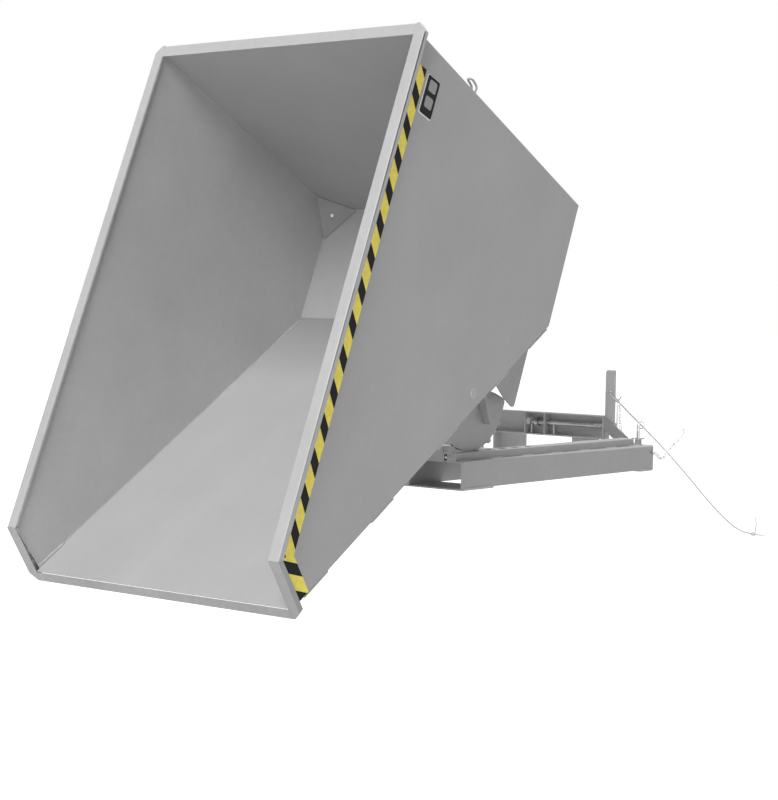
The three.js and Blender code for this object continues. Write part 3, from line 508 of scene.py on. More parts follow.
floor_level = -1.66
floor_reach = 90
floor_tone = 0.86
floor_near = 3.0
floor_far = 14.0
floor_near_glow = 0.58
floor_corners = [(floor_reach * x, floor_reach * y, floor_level)
                 for x, y in ((-1, -1), (1, -1), (1, 1), (-1, 1))]
floor_mesh = bpy.data.meshes.new("stage_floor")
floor_mesh.from_pydata(floor_corners, [], [(0, 1, 2, 3)])
stage_floor = in_scene("stage_floor", floor_mesh)
floor_white, tree, shader, place = started_material("floor_white")
shader.inputs["Base Color"].default_value = (floor_tone, floor_tone, floor_tone, 1)
shader.inputs["Roughness"].default_value = 0.9
shader.inputs["Specular IOR Level"].default_value = 0.0
from_centre = made_node(tree, "ShaderNodeVectorMath", {0: place}, operation="LENGTH").outputs["Value"]
glow = spread_over(tree, from_centre, floor_near, floor_far, floor_near_glow, 1.0)
shader.inputs["Emission Color"].default_value = (1, 1, 1, 1)
tree.links.new(multiplied(tree, seen_directly(tree), glow), shader.inputs["Emission Strength"])
floor_mesh.materials.append(floor_white)

sky_low = 0.155
sky_high = 0.295
sky_low_height = -0.8
world = bpy.data.worlds.new("soft_room")
bpy.context.scene.world = world
world.use_nodes = True
sky = world.node_tree
sky.nodes.clear()
sky_place = sky.nodes.new("ShaderNodeTexCoord")
sky_height = one_axis(sky, sky_place.outputs["Generated"], "Z")
sky_strength = spread_over(sky, sky_height, sky_low_height, 1.0, sky_low, sky_high)
soft_light, white_room = [
    made_node(sky, "ShaderNodeBackground", {"Color": (1, 1, 1, 1), "Strength": strength}).outputs[0]
    for strength in (sky_strength, 1.0)]
chosen = made_node(sky, "ShaderNodeMixShader", {0: seen_directly(sky), 1: soft_light, 2: white_room})
made_node(sky, "ShaderNodeOutputWorld", {"Surface": chosen.outputs[0]})


def soft_lamp(name, place, aim, size, power):
    data = bpy.data.lights.new(name, "AREA")
    data.shape = "DISK"
    data.size = size
    data.energy = power
    lamp = in_scene(name, data)
    lamp.location = place
    lamp.rotation_mode = "QUATERNION"
    lamp.rotation_quaternion = (Vector(aim) - Vector(place)).to_track_quat("-Z", "Y")


soft_lamp("front_lamp", place=(3.3, -13.8, 10.2), aim=(0, -1.7, 0.5), size=9.0, power=1850)
soft_lamp("overhead_lamp", place=(-0.6, 2.8, 8.2), aim=(0, -0.4, 0), size=4.0, power=430)


# The base frame is bent and welded from 6 mm plate: two fork pockets, the rails on them and cross members.
# It wears a light grey paint with a fine grain and faint mottles. The rear beam's coat is painted paler, as
# painted light.
def coated_steel(name, tone, rough, mottle=0.05, speckle=0.05, streak=0.0, stretch=(1, 1, 1), lean=0.0,
                 ripple=0.3, painted_lighting=None):
    rough_spread = 0.07
    patch_share = 0.6
    coat_relief = 0.0008
    material, tree, shader, place = started_material(name)
    broad = noise(tree, place, 3.2, 4)
    patches = noise(tree, place, 38, 5)
    grain = noise(tree, place, 620, 3)
    swings = [(broad, mottle), (grain, speckle), (patches, mottle * patch_share)]
    if streak:
        swings.append((noise(tree, place, 1.0, 4, stretch, lean), streak))
    factors = [varied(tree, source, 1 - swing, 1 + swing) for source, swing in swings]
    # A caller's factor here paints light and shade into the coat's colour.
    if painted_lighting:
        factors.append(painted_lighting(tree, place))
    colour = toned(tree, (tone, tone, tone * 1.003), multiplied(tree, *factors))
    roughness = varied(tree, patches, rough - rough_spread, rough + rough_spread)
    height = multiplied(tree, varied(tree, patches, 0.2, 1), varied(tree, grain, 0.6, 1))
    covered(tree, shader, colour, roughness, height, ripple, coat_relief)
    return material


def mesh_group(name):
    group = bpy.data.node_groups.new(name, "GeometryNodeTree")
    for way in ("INPUT", "OUTPUT"):
        group.interface.new_socket("Geometry", in_out=way, socket_type="NodeSocketGeometry")
    return group, group.nodes.new("NodeGroupInput"), group.nodes.new("NodeGroupOutput")


def smooth_below(limit):
    group, taken, given = mesh_group("smooth_rounded_faces")
    smooth_all = made_node(group, "GeometryNodeSetShadeSmooth", {"Geometry": taken.outputs[0]})
    angle = group.nodes.new("GeometryNodeInputMeshEdgeAngle")
    steep = made_node(group, "FunctionNodeCompare", {0: angle.outputs["Unsigned Angle"], 1: limit},
                      operation="GREATER_THAN")
    keep_edges = made_node(group, "GeometryNodeSetShadeSmooth", {
        "Geometry": smooth_all.outputs[0], "Selection": steep.outputs[0], "Shade Smooth": False
    }, domain="EDGE")
    group.links.new(keep_edges.outputs[0], given.inputs[0])
    return group


smoothing = smooth_below(math.radians(32))


def reach_along(tree, place, heading):
    return made_node(tree, "ShaderNodeVectorMath", {0: place, 1: heading},
                     operation="DOT_PRODUCT").outputs["Value"]


def bend_marks(name, bends):
    plane_slack = 0.0003
    group, taken, given = mesh_group("bends_of_" + name)
    place = group.nodes.new("GeometryNodeInputPosition").outputs[0]
    on_any = None
    for planes in bends:
        on_all = None
        for normal, level in planes:
            close = worked(group, "COMPARE", reach_along(group, place, normal), level, plane_slack)
            on_all = close if on_all is None else multiplied(group, on_all, close)
        on_any = on_all if on_any is None else worked(group, "MAXIMUM", on_any, on_all)
    mark = made_node(group, "GeometryNodeStoreNamedAttribute", {
        "Geometry": taken.outputs[0], "Name": "bevel_weight_edge", "Value": on_any
    }, data_type="FLOAT", domain="EDGE")
    group.links.new(mark.outputs[0], given.inputs[0])
    return group


def rounded_edges(piece, width, segments, least_angle):
    bevel = piece.modifiers.new("worn_edges", "BEVEL")
    bevel.width = width
    bevel.segments = segments
    bevel.limit_method = "ANGLE"
    bevel.angle_limit = math.radians(least_angle)


def smoothed(piece):
    shading = piece.modifiers.new("shading", "NODES")
    shading.node_group = smoothing


def finish_node(name, material, edge=0.0, segments=2, bends=None, bend_radius=0.0):
    skin_gap = 0.00002
    flat_angle = 0.4
    edge_angle = 34
    bend_segments = 5
    node = nodes[name]
    node.data.materials.clear()
    node.data.materials.append(material)
    weld = node.modifiers.new("one_skin", "WELD")
    weld.merge_threshold = skin_gap
    flat = node.modifiers.new("flat_faces", "DECIMATE")
    flat.decimate_type = "DISSOLVE"
    flat.angle_limit = math.radians(flat_angle)
    if bends:
        marks = node.modifiers.new("bend_marks", "NODES")
        marks.node_group = bend_marks(name, bends)
        rounding = node.modifiers.new("rounded_bends", "BEVEL")
        rounding.width = bend_radius
        rounding.segments = bend_segments
        rounding.limit_method = "WEIGHT"
        rounding.use_clamp_overlap = False
    if edge:
        rounded_edges(node, edge, segments, edge_angle)
    smoothed(node)
    if edge:
        flat_first = node.modifiers.new("flat_faces_first", "WEIGHTED_NORMAL")
        flat_first.keep_sharp = True


def node_box(name):
    spots = [vertex.co for vertex in nodes[name].data.vertices]
    return [Vector([pick(spot[axis] for spot in spots) for axis in range(3)]) for pick in (min, max)]


sheet_edge = 0.0008
rail_edge = 0.0006
plate_edge = 0.0012
pocket_bend = 0.0075
rail_bend = 0.0045
upward = Vector((0, 0, 1))
frame_paint = coated_steel("frame_paint", tone=0.425, rough=0.46)
pocket_low, pocket_high = node_box("fork_pocket_right")
rail_low, rail_high = node_box("rail_right")
for name, side in (("left", -1), ("right", 1)):
    pocket_bends = [[(rightward, side * x), (upward, pocket_high.z)] for x in (pocket_low.x, pocket_high.x)]
    finish_node("fork_pocket_" + name, frame_paint, sheet_edge, bends=pocket_bends, bend_radius=pocket_bend)
    rail_bends = [[(rightward, side * x), (upward, rail_high.z)] for x in (rail_low.x, rail_high.x)]
    finish_node("rail_" + name, frame_paint, rail_edge, bends=rail_bends, bend_radius=rail_bend)
    finish_node("pin_sleeve_" + name, frame_paint, sheet_edge)
for name in ("rail_stop_left", "rail_stop_right", "front_strap", "rear_strap", "front_cross_bar",
             "mid_cross_member", "beam_gusset_left", "beam_gusset_right"):
    finish_node(name, frame_paint, plate_edge)
# Painted light: the rear beam, its ribs and its aprons get a paler copy of the frame paint.
beam_painted_light = coated_steel("beam_painted_light", tone=0.64, rough=0.44)
for name in ("rear_beam", "latch_rib_left", "latch_rib_right", "beam_apron_left", "beam_apron_right"):
    finish_node(name, beam_painted_light, plate_edge)
for name in ("beam_bolt_1", "beam_bolt_2"):
    finish_node(name, zinc_coat, rail_edge)

# The welds are hand-laid fillets that stand a few millimetres proud of the joints, with the paint over them.
# The rails are stitched to the pockets, and the beam, gussets, bars and straps are welded along their feet.
# Painted highlight: the beads' paint is paler than the paint of the parts they join.
bead_painted_highlight = coated_steel("bead_painted_highlight", tone=0.52, rough=0.42, mottle=0.08, speckle=0.06, ripple=0.5)


def weld_bead(start, end, radius, ripple=0.008):
    start = Vector(start)
    end = Vector(end)
    steps = max(6, round((end - start).length / ripple * 3))
    line = [start.lerp(end, step / steps) for step in range(steps + 1)]

    def swell(share):
        number = round(share * steps)
        ends = min(1.0, 0.35 + 0.35 * min(number, steps - number))
        return ends * (1.0, 1.16, 0.94)[number % 3] * (1 + 0.06 * math.sin(number * 0.37))

    return round_bar(line, radius, 7, swell=swell)


stitch_start = -1.335
stitch_pitch = 0.203
stitch_length = 0.075
rail_stitches = [(stitch_start + stitch_pitch * number, stitch_start + stitch_pitch * number + stitch_length)
                 for number in range(6)] + [(-0.150, -0.112)]
rail_bead = 0.0036
foot_bead = 0.0034
upright_bead = 0.0030
strap_bead = 0.0028
ring_bead = 0.0026
stand_off = 0.0005
foot_level = pocket_high.z + 0.0015
strap_level = pocket_low.z + stand_off
strap_runs = ((-1.345, -1.160), (-0.094, -0.006))
gusset_low, gusset_high = node_box("beam_gusset_right")
gusset_weld_y = gusset_high.y + stand_off
gusset_foot = (gusset_low.x + 0.0017, gusset_high.x - 0.0017)
beam_end_x = gusset_low.x + 0.0002
beam_end_heights = (0.024, 0.112)
bar_weld_y = -1.3015
bar_foot = (0.316, 0.464)
sleeve_low, sleeve_high = node_box("pin_sleeve_right")
pin_place = (sleeve_low + sleeve_high) / 2
sleeve_foot = pocket_high.z + 0.0008
sleeve_ring_radius = (sleeve_high.x - sleeve_low.x) / 2 + stand_off
frame_runs = []
for side in (-1, 1):
    for x in (rail_low.x - stand_off, rail_high.x + stand_off):
        frame_runs += [weld_bead((side * x, start, rail_low.z), (side * x, end, rail_low.z), rail_bead)
                       for start, end in rail_stitches]
    for foot, y in ((gusset_foot, gusset_weld_y), (bar_foot, bar_weld_y)):
        foot_run = [(side * x, y, foot_level) for x in foot]
        frame_runs.append(weld_bead(*foot_run, foot_bead))
    beam_end = [(side * beam_end_x, gusset_weld_y, height) for height in beam_end_heights]
    frame_runs.append(weld_bead(*beam_end, upright_bead))
    for x in (pocket_low.x - 2 * stand_off, pocket_high.x + 2 * stand_off):
        for start, end in strap_runs:
            strap_run = [(side * x, y, strap_level) for y in (start, end)]
            frame_runs.append(weld_bead(*strap_run, strap_bead))
    sleeve_ring = circle(Vector((side * pin_place.x, pin_place.y, sleeve_foot)), rightward, Vector((0, 1, 0)),
                         sleeve_ring_radius, 24)
    frame_runs.append(round_bar(sleeve_ring, ring_bead, 7, closed=True))
made_piece("frame_welds", frame_runs, bead_painted_highlight, "base")


# A plate closes most of each rail's front end, and a plated bolt stands in the slot left beside it.
# Both are set back a little from the rail's edges.
def plain_block(low, high):
    (left, front, bottom), (right, back, top) = low, high
    verts = [Vector((x, y, z)) for x in (left, right) for y in (front, back) for z in (bottom, top)]
    faces = [(0, 1, 3, 2), (4, 6, 7, 5), (0, 4, 5, 1), (2, 3, 7, 6), (0, 2, 6, 4), (1, 5, 7, 3)]
    return verts, faces


def softened(piece, width, segments=3):
    edge_angle = 40
    rounded_edges(piece, width, segments, edge_angle)
    smoothed(piece)


end_plate_sides = (0.4880, 0.5252)
end_plate_faces = (-1.3518, -1.3475)
end_plate_heights = (0.0065, 0.0300)
end_bolt_start = Vector((0.4815, -1.300, 0.018))
end_bolt_profile = [(0, 0.0030), (0.044, 0.0030), (0.0442, 0.0052), (0.0502, 0.0052), (0.0508, 0.0045)]
end_plates = []
end_bolts = []
for side in (-1, 1):
    inner, outer = sorted(side * x for x in end_plate_sides)
    end_plates.append(plain_block(*zip((inner, outer), end_plate_faces, end_plate_heights)))
    bolt_start = Vector((side * end_bolt_start.x, end_bolt_start.y, end_bolt_start.z))
    end_bolts.append(turned_bar(bolt_start, Vector((0, -1, 0)), end_bolt_profile, 6))
rail_ends = made_piece("rail_end_plates", end_plates, frame_paint, "base", smooth=False)
softened(rail_ends, sheet_edge, 2)
made_piece("rail_end_bolts", end_bolts, zinc_coat, "base", smooth=False)


# The return spring is eight turns of 3 mm wire round the release shaft, beside the right rib.
# It turns the shaft back so that the hook drops over the striker again.
def joint_named(name):
    return next(joint for joint in frame["joints"] if joint["name"] == name)


spring_turns = 8
spring_steps = 16
spring_radius = 0.012
spring_pitch = 0.005
spring_wire = 0.003
spring_beside = 0.294
spring_start = Vector(joint_named("release_turn")["pos_m"]) + rightward * spring_beside
spring_line = []
for step in range(spring_turns * spring_steps + 1):
    turn = 2 * math.pi * step / spring_steps
    round_shaft = Vector((0, math.cos(turn), math.sin(turn))) * spring_radius
    spring_line.append(spring_start + rightward * (spring_pitch * step / spring_steps) + round_shaft)
return_spring = made_piece("return_spring_coil", [round_bar(spring_line, spring_wire / 2, 9)],
                           zinc_coat, "base")
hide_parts("return_spring")

# The release gear is a steel shaft across the beam, with a hook in its middle and a flat lever at its end.
# The lever gets a paler coat like the beam's, as painted light, and the shaft and the hook are bare, greased
# steel.
steel_grey = (0.50, 0.505, 0.515)
steel_edge = 0.0010
lever_edge = 0.0014
dark_steel, tree, shader, place = started_material("bare_steel")
shader.inputs["Metallic"].default_value = 0.6
rolled = noise(tree, place, 60, 5)
oiled = noise(tree, place, 9, 3)
steel_tone = multiplied(tree, varied(tree, rolled, 0.82, 1.12), varied(tree, oiled, 0.8, 1.08))
steel_roughness = varied(tree, rolled, 0.30, 0.55)
covered(tree, shader, toned(tree, steel_grey, steel_tone), steel_roughness, rolled, ripple=0.3)
for name in ("release_shaft", "latch_hook"):
    finish_node(name, dark_steel, steel_edge)
# Painted light: the lever's coat is paler than the frame's.
lever_painted_light = coated_steel("lever_painted_light", tone=0.66, rough=0.44)
finish_node("release_lever", lever_painted_light, lever_edge, 3)

# Each fork pin is a zinc-plated drop pin, with a cross pin that stops it on its sleeve and a ring to lift it.
# It goes down through its sleeve and the pocket's top plate.
pin_foot = -0.060
pin_profile = [(0, 0.0035), (0.002, 0.0050), (0.010, 0.0080), (0.149, 0.0080), (0.1512, 0.0072),
               (0.152, 0.0058)]
cross_pin_half = 0.032
cross_pin_level = 0.0313
cross_pin_profile = [(0, 0.0022), (0.0008, 0.0030), (0.0632, 0.0030), (0.064, 0.0022)]
ring_radius = 0.014
ring_level = 0.088
ring_wire = 0.0029
ring_tilt = Vector((0, 1 / 7, 1))
sharp_angle = math.radians(35)
for name, side in (("left", -1), ("right", 1)):
    pin_axis = Vector((side * pin_place.x, pin_place.y, 0))
    shank = turned_bar(pin_axis + upward * pin_foot, upward, pin_profile)
    cross = turned_bar(pin_axis + upward * cross_pin_level - rightward * cross_pin_half, rightward,
                       cross_pin_profile, 18)
    ring_centre = pin_axis + rightward * side * ring_radius + upward * ring_level
    ring = round_bar(circle(ring_centre, rightward, ring_tilt, ring_radius, 32), ring_wire, 12, closed=True)
    pin = made_piece("drop_pin_" + name, [shank, cross, ring], zinc_coat, "pin_" + name)
    pin.data.attributes.new("sharp_edge", "BOOLEAN", "EDGE")
    work = bmesh.new()
    work.from_mesh(pin.data)
    for edge in work.edges:
        edge.smooth = edge.calc_face_angle(0) < sharp_angle
    work.to_mesh(pin.data)
    work.free()
    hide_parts("fork_pin_" + name)

# The rockers are 12 mm plates with three teeth, tied by a tube, with a flat bar bent round their front.
# What rides with the tub is placed level, along from the rear rim and down from the rim, then tipped as one.
tip_joint = joint_named("tub_tip")
roll_centre = Vector(tip_joint["pos_m"])
tip_angle = math.radians(-tip_joint["range_deg"][0])
tub_turn = Matrix.Translation(roll_centre) @ Matrix.Rotation(tip_angle, 4, "X")
roll_centre_along = 1.006268
roll_centre_down = 0.9443


def on_tub(x, along, down):
    return tub_turn @ Vector((x, roll_centre_along - along, roll_centre_down - down))


def flat_bar(line, across, width, sheet):
    verts = []
    frames = carried_frames(line)
    for point, heading, side, over in frames:
        normal = heading.cross(across).normalized()
        for a, b in ((0, -0.5), (1, -0.5), (1, 0.5), (0, 0.5)):
            verts.append(point + across * width * a + normal * sheet * b)
    rings = len(frames)
    return verts, skin([(ring, ring + 1) for ring in range(rings - 1)], 4) + end_caps(rings, 4)


for name in ("rocker_left", "rocker_right", "skid_plate_left", "skid_plate_right", "tie_tube"):
    finish_node(name, frame_paint, lever_edge, 3)
rib_x = 0.506
rib_course = [(0.005, -0.039), (-0.005, -0.057), (-0.027, -0.0735), (-0.052, -0.092), (-0.0725, -0.115),
              (-0.078, -0.128)]
rib_width = 0.034
rib_sheet = 0.008
rib_step = 0.008
for name, side in (("left", -1), ("right", 1)):
    rib_line = smooth_line([tub_turn @ Vector((side * rib_x, y, z)) for y, z in rib_course], rib_step)
    rib = made_piece("rocker_rib_" + name, [flat_bar(rib_line, rightward * side, rib_width, rib_sheet)],
                     frame_paint, "tub", smooth=False)
    softened(rib, plate_edge)

# The tub is welded from 4 mm sheet: two side panels, with the rear, floor and sloped front between them.
# Its paint is a pale matt grey with a fine speckle and faint runs, painted paler on the inner faces of the
# sides as painted light.
# The slope's upper end, where it meets the floor, is darkened as painted shade.
side_middle = 0.618
side_blend = 0.0005
side_inside_light_gain = 1.25
slope_top = on_tub(0, 0.652, 1.160).z
slope_shade_fall = 0.24
slope_shade_tone = 0.62
slope_angle = math.radians(35.6)
upright_runs = (0.30, 1.6, 0.30)


# Painted light: the side panels' inner faces, inside side_middle, are made paler than their outer faces.
def painted_light_inside(tree, place):
    from_middle = worked(tree, "ABSOLUTE", one_axis(tree, place, "X"))
    return spread_over(tree, from_middle, side_middle - side_blend, side_middle + side_blend, side_inside_light_gain, 1.0)


# Painted shade: the slope's colour darkens towards its upper end, in the corner with the floor.
def painted_shade_above(tree, place):
    height = one_axis(tree, place, "Z")
    return spread_over(tree, height, slope_top - slope_shade_fall, slope_top, 1.0, slope_shade_tone)


side_paint = coated_steel("side_paint", tone=0.455, rough=0.48, mottle=0.035, speckle=0.045, streak=0.025,
                          stretch=upright_runs, lean=tip_angle, painted_lighting=painted_light_inside)
tub_paint = coated_steel("tub_paint", tone=0.435, rough=0.48, mottle=0.035, speckle=0.045, streak=0.025,
                         stretch=upright_runs, lean=tip_angle)
# Painted light: the sloped front panel gets a paler copy of the tub's paint.
slope_painted_light = coated_steel("slope_painted_light", tone=0.535, rough=0.46, mottle=0.025, speckle=0.045, streak=0.014,
                           stretch=(0.10, 1.2, 1.2), lean=tip_angle - slope_angle, painted_lighting=painted_shade_above)
for name, paint in (("side_panel_left", side_paint), ("side_panel_right", side_paint),
                    ("rear_panel", tub_paint), ("floor_panel", tub_paint), ("front_panel", slope_painted_light)):
    finish_node(name, paint, sheet_edge)

seam_x = 0.6155
rim_seam_x = 0.6085
lip_seam_x = 0.613
cross_seam_x = 0.612
side_seams = (
    (seam_x, (0.656, 1.154), (2.040, 0.1625), 0.0034, 0.008),
    (seam_x, (0.158, 1.1595), (0.644, 1.1595), 0.0034, 0.008),
    (seam_x, (0.0365, 0.012), (0.155, 1.156), 0.0034, 0.008),
    (rim_seam_x, (0.040, 0.0062), (1.925, 0.0062), 0.0050, 0.008),
    (rim_seam_x, (1.9295, 0.0090), (2.041, 0.1590), 0.0048, 0.008),
    (lip_seam_x, (2.042, 0.1555), (1.910, 0.2545), 0.0062, 0.011))
cross_seams = (((0.1545, 1.1585), 0.0034), ((0.0345, 0.0062), 0.0045))
tub_runs = []
for side in (-1, 1):
    for x, start, end, bead, ripple in side_seams:
        tub_runs.append(weld_bead(on_tub(side * x, *start), on_tub(side * x, *end), bead, ripple))
for spot, bead in cross_seams:
    tub_runs.append(weld_bead(on_tub(-cross_seam_x, *spot), on_tub(cross_seam_x, *spot), bead))
made_piece("tub_welds", tub_runs, bead_painted_highlight, "tub")

outer_stitch_x = 0.6175
outer_stitches = (((0.665, 1.1595), (0.780, 1.0765)), ((0.900, 0.990), (1.015, 0.9075)),
                  ((1.20, 0.7745), (1.315, 0.692)), ((1.55, 0.5235), (1.665, 0.4410)),
                  ((1.88, 0.2870), (1.995, 0.2045)))
outer_bead = 0.0030
plug_x = 0.6196
plug_spot = (1.057, 0.814)
plug_profile = [(0, 0.020), (0.0010, 0.0195), (0.0022, 0.0165), (0.0028, 0.012), (0.0020, 0.006),
                (0.0012, 0.002)]
out_runs = []
for side in (-1, 1):
    for stitch in outer_stitches:
        stitch_ends = [on_tub(side * outer_stitch_x, *spot) for spot in stitch]
        out_runs.append(weld_bead(*stitch_ends, outer_bead))
    out_runs.append(turned_bar(on_tub(side * plug_x, *plug_spot), rightward * side, plug_profile))
made_piece("tub_outer_welds", out_runs, bead_painted_highlight, "tub")

# The rim is bent from 3 mm sheet into an angle round the opening, and the lip bar closes the front edge.
# Its bends catch the light. The lip bar and the front rims get a darker coat as painted shade, smooth and
# streaked with wear from what slides out over it.
rim_edge = 0.0007
rim_bend = 0.0075
lip_edge = 0.0030
# Painted light: the rims get a paler copy of the tub's paint.
rim_paint = coated_steel("rim_paint", tone=0.52, rough=0.40, mottle=0.04)
# Painted shade: the lip bar and the front rims, which face down, get a darker coat; its streaks are wear.
lip_streaks_and_painted_shade = coated_steel("lip_streaks_and_painted_shade", tone=0.38, rough=0.36, mottle=0.09, speckle=0.07, streak=0.06,
                         stretch=(0.02, 0.6, 0.6), lean=tip_angle)
level_back = Vector((0, math.cos(tip_angle), math.sin(tip_angle)))
level_up = Vector((0, -math.sin(tip_angle), math.cos(tip_angle)))
rim_plane = (level_up, level_up.dot(roll_centre) + roll_centre_down)
rear_plane = (level_back, level_back.dot(roll_centre) + roll_centre_along)
rim_side = node_box("rim_right")[1].x
for name, outer_plane in (("left", (rightward, -rim_side)), ("right", (rightward, rim_side)),
                          ("rear", rear_plane)):
    finish_node("rim_" + name, rim_paint, rim_edge, bends=[[outer_plane, rim_plane]], bend_radius=rim_bend)
for name in ("front_rim_left", "front_rim_right", "lip_bar"):
    finish_node(name, lip_streaks_and_painted_shade, lip_edge, 3)

# Each corner plate closes a rear corner of the floor, so that nothing lodges there, and a bolt holds it.
# The bolt has a hexagon head on a washer, plated and a little dirty.
# Painted shade: the corner plates get a darker coat than the side panels they continue.
corner_painted_shade = coated_steel("corner_painted_shade", tone=0.315, rough=0.52, mottle=0.04)
floor_top = 1.160
tub_depth = 1.164
rear_top_along = 0.031
rear_lean_along = 0.119
rear_sheet_along = 0.00402
side_inside = 0.616
corner_rise = 0.116
corner_leg = 0.134
corner_plate_over = 0.0049
tub_inside = on_tub(0, 0.9, 0.4)


def rear_inside(down):
    return rear_top_along + down / tub_depth * rear_lean_along + rear_sheet_along


def hexagon_bolt(base, heading, flats, head, washer):
    washer_sheet = 0.0016
    washer_edge = 0.0004
    head_edge = 0.001
    shank_over = 0.007
    corner = flats / math.sqrt(3)
    shank = flats * 0.27
    disc = turned_bar(base, heading, [
        (0, washer), (washer_sheet - washer_edge, washer), (washer_sheet, washer - 0.0005)])
    body = turned_bar(base + heading * washer_sheet, heading, [
        (0, corner), (head - head_edge, corner), (head, corner * 0.9)], 6)
    tip = turned_bar(base + heading * (washer_sheet + head), heading, [
        (0, shank), (shank_over - 0.001, shank), (shank_over, flats * 0.22)], 20)
    return [disc, body, tip]


for name, side in (("left", -1), ("right", 1)):
    finish_node("corner_plate_" + name, corner_painted_shade, sheet_edge)
    seats = [on_tub(side * side_inside, rear_inside(floor_top - corner_rise), floor_top - corner_rise),
             on_tub(side * (side_inside - corner_leg), rear_inside(floor_top), floor_top),
             on_tub(side * side_inside, rear_inside(floor_top) + corner_leg, floor_top)]
    heading = (seats[1] - seats[0]).cross(seats[2] - seats[0]).normalized()
    inside = tub_inside - seats[0]
    heading = heading if heading.dot(inside) > 0 else -heading
    middle = (seats[0] + seats[1] + seats[2]) / 3 + heading * corner_plate_over
    bolt_parts = hexagon_bolt(middle, heading, flats=0.0105, head=0.0055, washer=0.0072)
    bolt = made_piece("plate_bolt_" + name, bolt_parts, zinc_coat, "tub", smooth=False)
    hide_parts("corner_bolt_" + name)


# The hazard tape is self-adhesive vinyl in slanted yellow and black stripes, below the side rims, and it
# glows faintly in its own colours as painted light.
# It turns down beside the front rim, where the stripes start afresh.
def measured(tree, place, along_share, down_share, start):
    heading = -level_back * along_share - level_up * down_share
    centre_reach = along_share * roll_centre_along + down_share * roll_centre_down
    return worked(tree, "ADD", reach_along(tree, place, heading),
                  centre_reach - heading.dot(roll_centre) - start)


stripe_yellow = (1.0, 0.85, 0.17)
stripe_black = (0.012, 0.010, 0.011)
stripe_pitch = 0.1214
yellow_half_share = 0.28
whole_stripes = 20.5
main_start = 0.1025
front_start = 0.072
knee_along = 1.932
front_pitch = math.radians(53.4)
front_cos = math.cos(front_pitch)
front_sin = math.sin(front_pitch)
vinyl_gloss = 0.10
painted_glow_strength = 0.12
tape_stripes, tree, shader, place = started_material("hazard_stripes")
main_phase = measured(tree, place, 1, -1, main_start)
front_phase = measured(tree, place, front_cos + front_sin, front_sin - front_cos,
                       knee_along * (front_cos + front_sin) + front_start)
from_rim = measured(tree, place, 0, 1, 0)
from_front = measured(tree, place, -front_sin, front_cos, -knee_along * front_sin)
on_main = worked(tree, "LESS_THAN", from_rim, from_front)
front_share = worked(tree, "SUBTRACT", 1.0, on_main)
phase = worked(tree, "ADD", multiplied(tree, main_phase, on_main), multiplied(tree, front_phase, front_share))
turns = worked(tree, "ADD", worked(tree, "DIVIDE", phase, stripe_pitch), whole_stripes)
from_yellow = worked(tree, "ABSOLUTE", worked(tree, "SUBTRACT", worked(tree, "FRACT", turns), 0.5))
is_yellow = worked(tree, "LESS_THAN", from_yellow, yellow_half_share)
tape_dirt = noise(tree, place, 55, 5)
tape_fine = noise(tree, place, 480, 3)
tape_factor = multiplied(tree, varied(tree, tape_dirt, 0.88, 1.08), varied(tree, tape_fine, 0.94, 1.05))
stripe_colour = made_node(tree, "ShaderNodeMix", {
    "Factor": is_yellow, 6: toned(tree, stripe_black, tape_factor), 7: toned(tree, stripe_yellow, tape_factor)
}, data_type="RGBA").outputs[2]
covered(tree, shader, stripe_colour, varied(tree, tape_dirt, 0.44, 0.60), tape_dirt, ripple=0.15)
# Painted light: the stripes glow a little in their own colour, so that the yellow looks brighter.
tree.links.new(stripe_colour, shader.inputs["Emission Color"])
shader.inputs["Emission Strength"].default_value = painted_glow_strength
shader.inputs["Specular IOR Level"].default_value = vinyl_gloss
for name in ("hazard_tape_left", "hazard_tape_right"):
    finish_node(name, tape_stripes)

# The plate on the right side is a dark panel with rounded corners, two blank grey fields and a pale edge.
# It is glued below the rim, near the rear corner.
plate_dark = coated_steel("plate_dark", tone=0.022, rough=0.55, mottle=0.10, speckle=0.08, ripple=0.15)
plate_grey = coated_steel("plate_grey", tone=0.36, rough=0.50, mottle=0.06, ripple=0.15)
plate_pale = coated_steel("plate_pale", tone=0.95, rough=0.45, mottle=0.03, speckle=0.03, ripple=0.15)
plate_dark.node_tree.nodes["Principled BSDF"].inputs["Specular IOR Level"].default_value = vinyl_gloss


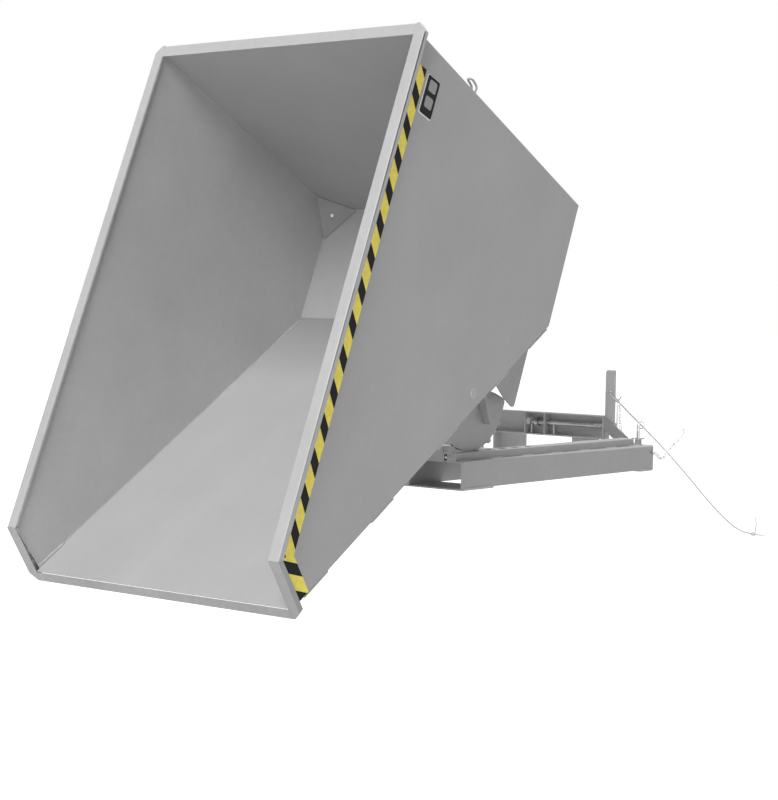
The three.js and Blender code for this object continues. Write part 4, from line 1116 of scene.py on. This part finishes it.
def rounded_slab(along, down, length, width, radius, x_low, x_high):
    near_along, far_along = along + radius, along + length - radius
    near_down, far_down = down + radius, down + width - radius
    outline = []
    for centre_along, centre_down, first in ((far_along, far_down, 0), (near_along, far_down, 90),
                                             (near_along, near_down, 180), (far_along, near_down, 270)):
        for step in range(7):
            turn = math.radians(first + 15 * step)
            outline.append((centre_along + radius * math.cos(turn), centre_down + radius * math.sin(turn)))
    count = len(outline)
    verts = [on_tub(x, *spot) for x in (x_low, x_high) for spot in outline]
    faces = [tuple(range(count)), tuple(reversed(range(count, 2 * count)))]
    faces += [(k, (k + 1) % count, count + (k + 1) % count, count + k) for k in range(count)]
    return verts, faces


back = rounded_slab(along=0.137, down=0.1095, length=0.149, width=0.0745, radius=0.006,
                    x_low=0.6203, x_high=0.6210)
panel = rounded_slab(along=0.139, down=0.1150, length=0.1415, width=0.0690, radius=0.006,
                     x_low=0.6209, x_high=0.6217)
fields = [rounded_slab(along=field_along, down=0.1290, length=0.042, width=0.043, radius=0.008,
                       x_low=0.6216, x_high=0.6221) for field_along in (0.150, 0.2105)]
plate_back = made_piece("blank_plate", [back], plate_pale, "tub", smooth=False)
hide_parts("label_plate")
made_piece("blank_plate_panel", [panel], plate_dark, "tub", smooth=False)
made_piece("blank_plate_fields", fields, plate_grey, "tub", smooth=False)

# The lashing eyes are bent round bar on the rear panel, and the striker between them is what the hook holds.
# The striker's pin is bare steel, worn bright by the hook.
eye_x = 0.592
eye_half = 0.0105
eye_bar = 0.0042
eye_course = [(0.0740, 0.4020), (0.0640, 0.4020), (0.0530, 0.4035), (0.0412, 0.4045), (0.0335, 0.3985),
              (0.0285, 0.3860), (0.0255, 0.3760)]
crown_along, crown_down = eye_course[-1]
crown_lean = 0.0025
eye_step = 0.003
for name, side in (("left", -1), ("right", 1)):
    legs = [[on_tub(side * (eye_x + apart), *stop) for stop in eye_course] for apart in (-eye_half, eye_half)]
    crown = [on_tub(side * (eye_x - eye_half * math.cos(turn)), crown_along - crown_lean * math.sin(turn),
                    crown_down - eye_half * math.sin(turn)) for turn in map(math.radians, range(30, 180, 30))]
    eye_line = smooth_line(legs[0] + crown + legs[1][::-1], eye_step)
    rear_eye = made_piece("lashing_eye_" + name, [round_bar(eye_line, eye_bar, 12)],
                          frame_paint, "tub")
    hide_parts("rear_eye_" + name)
finish_node("striker", dark_steel, steel_edge)
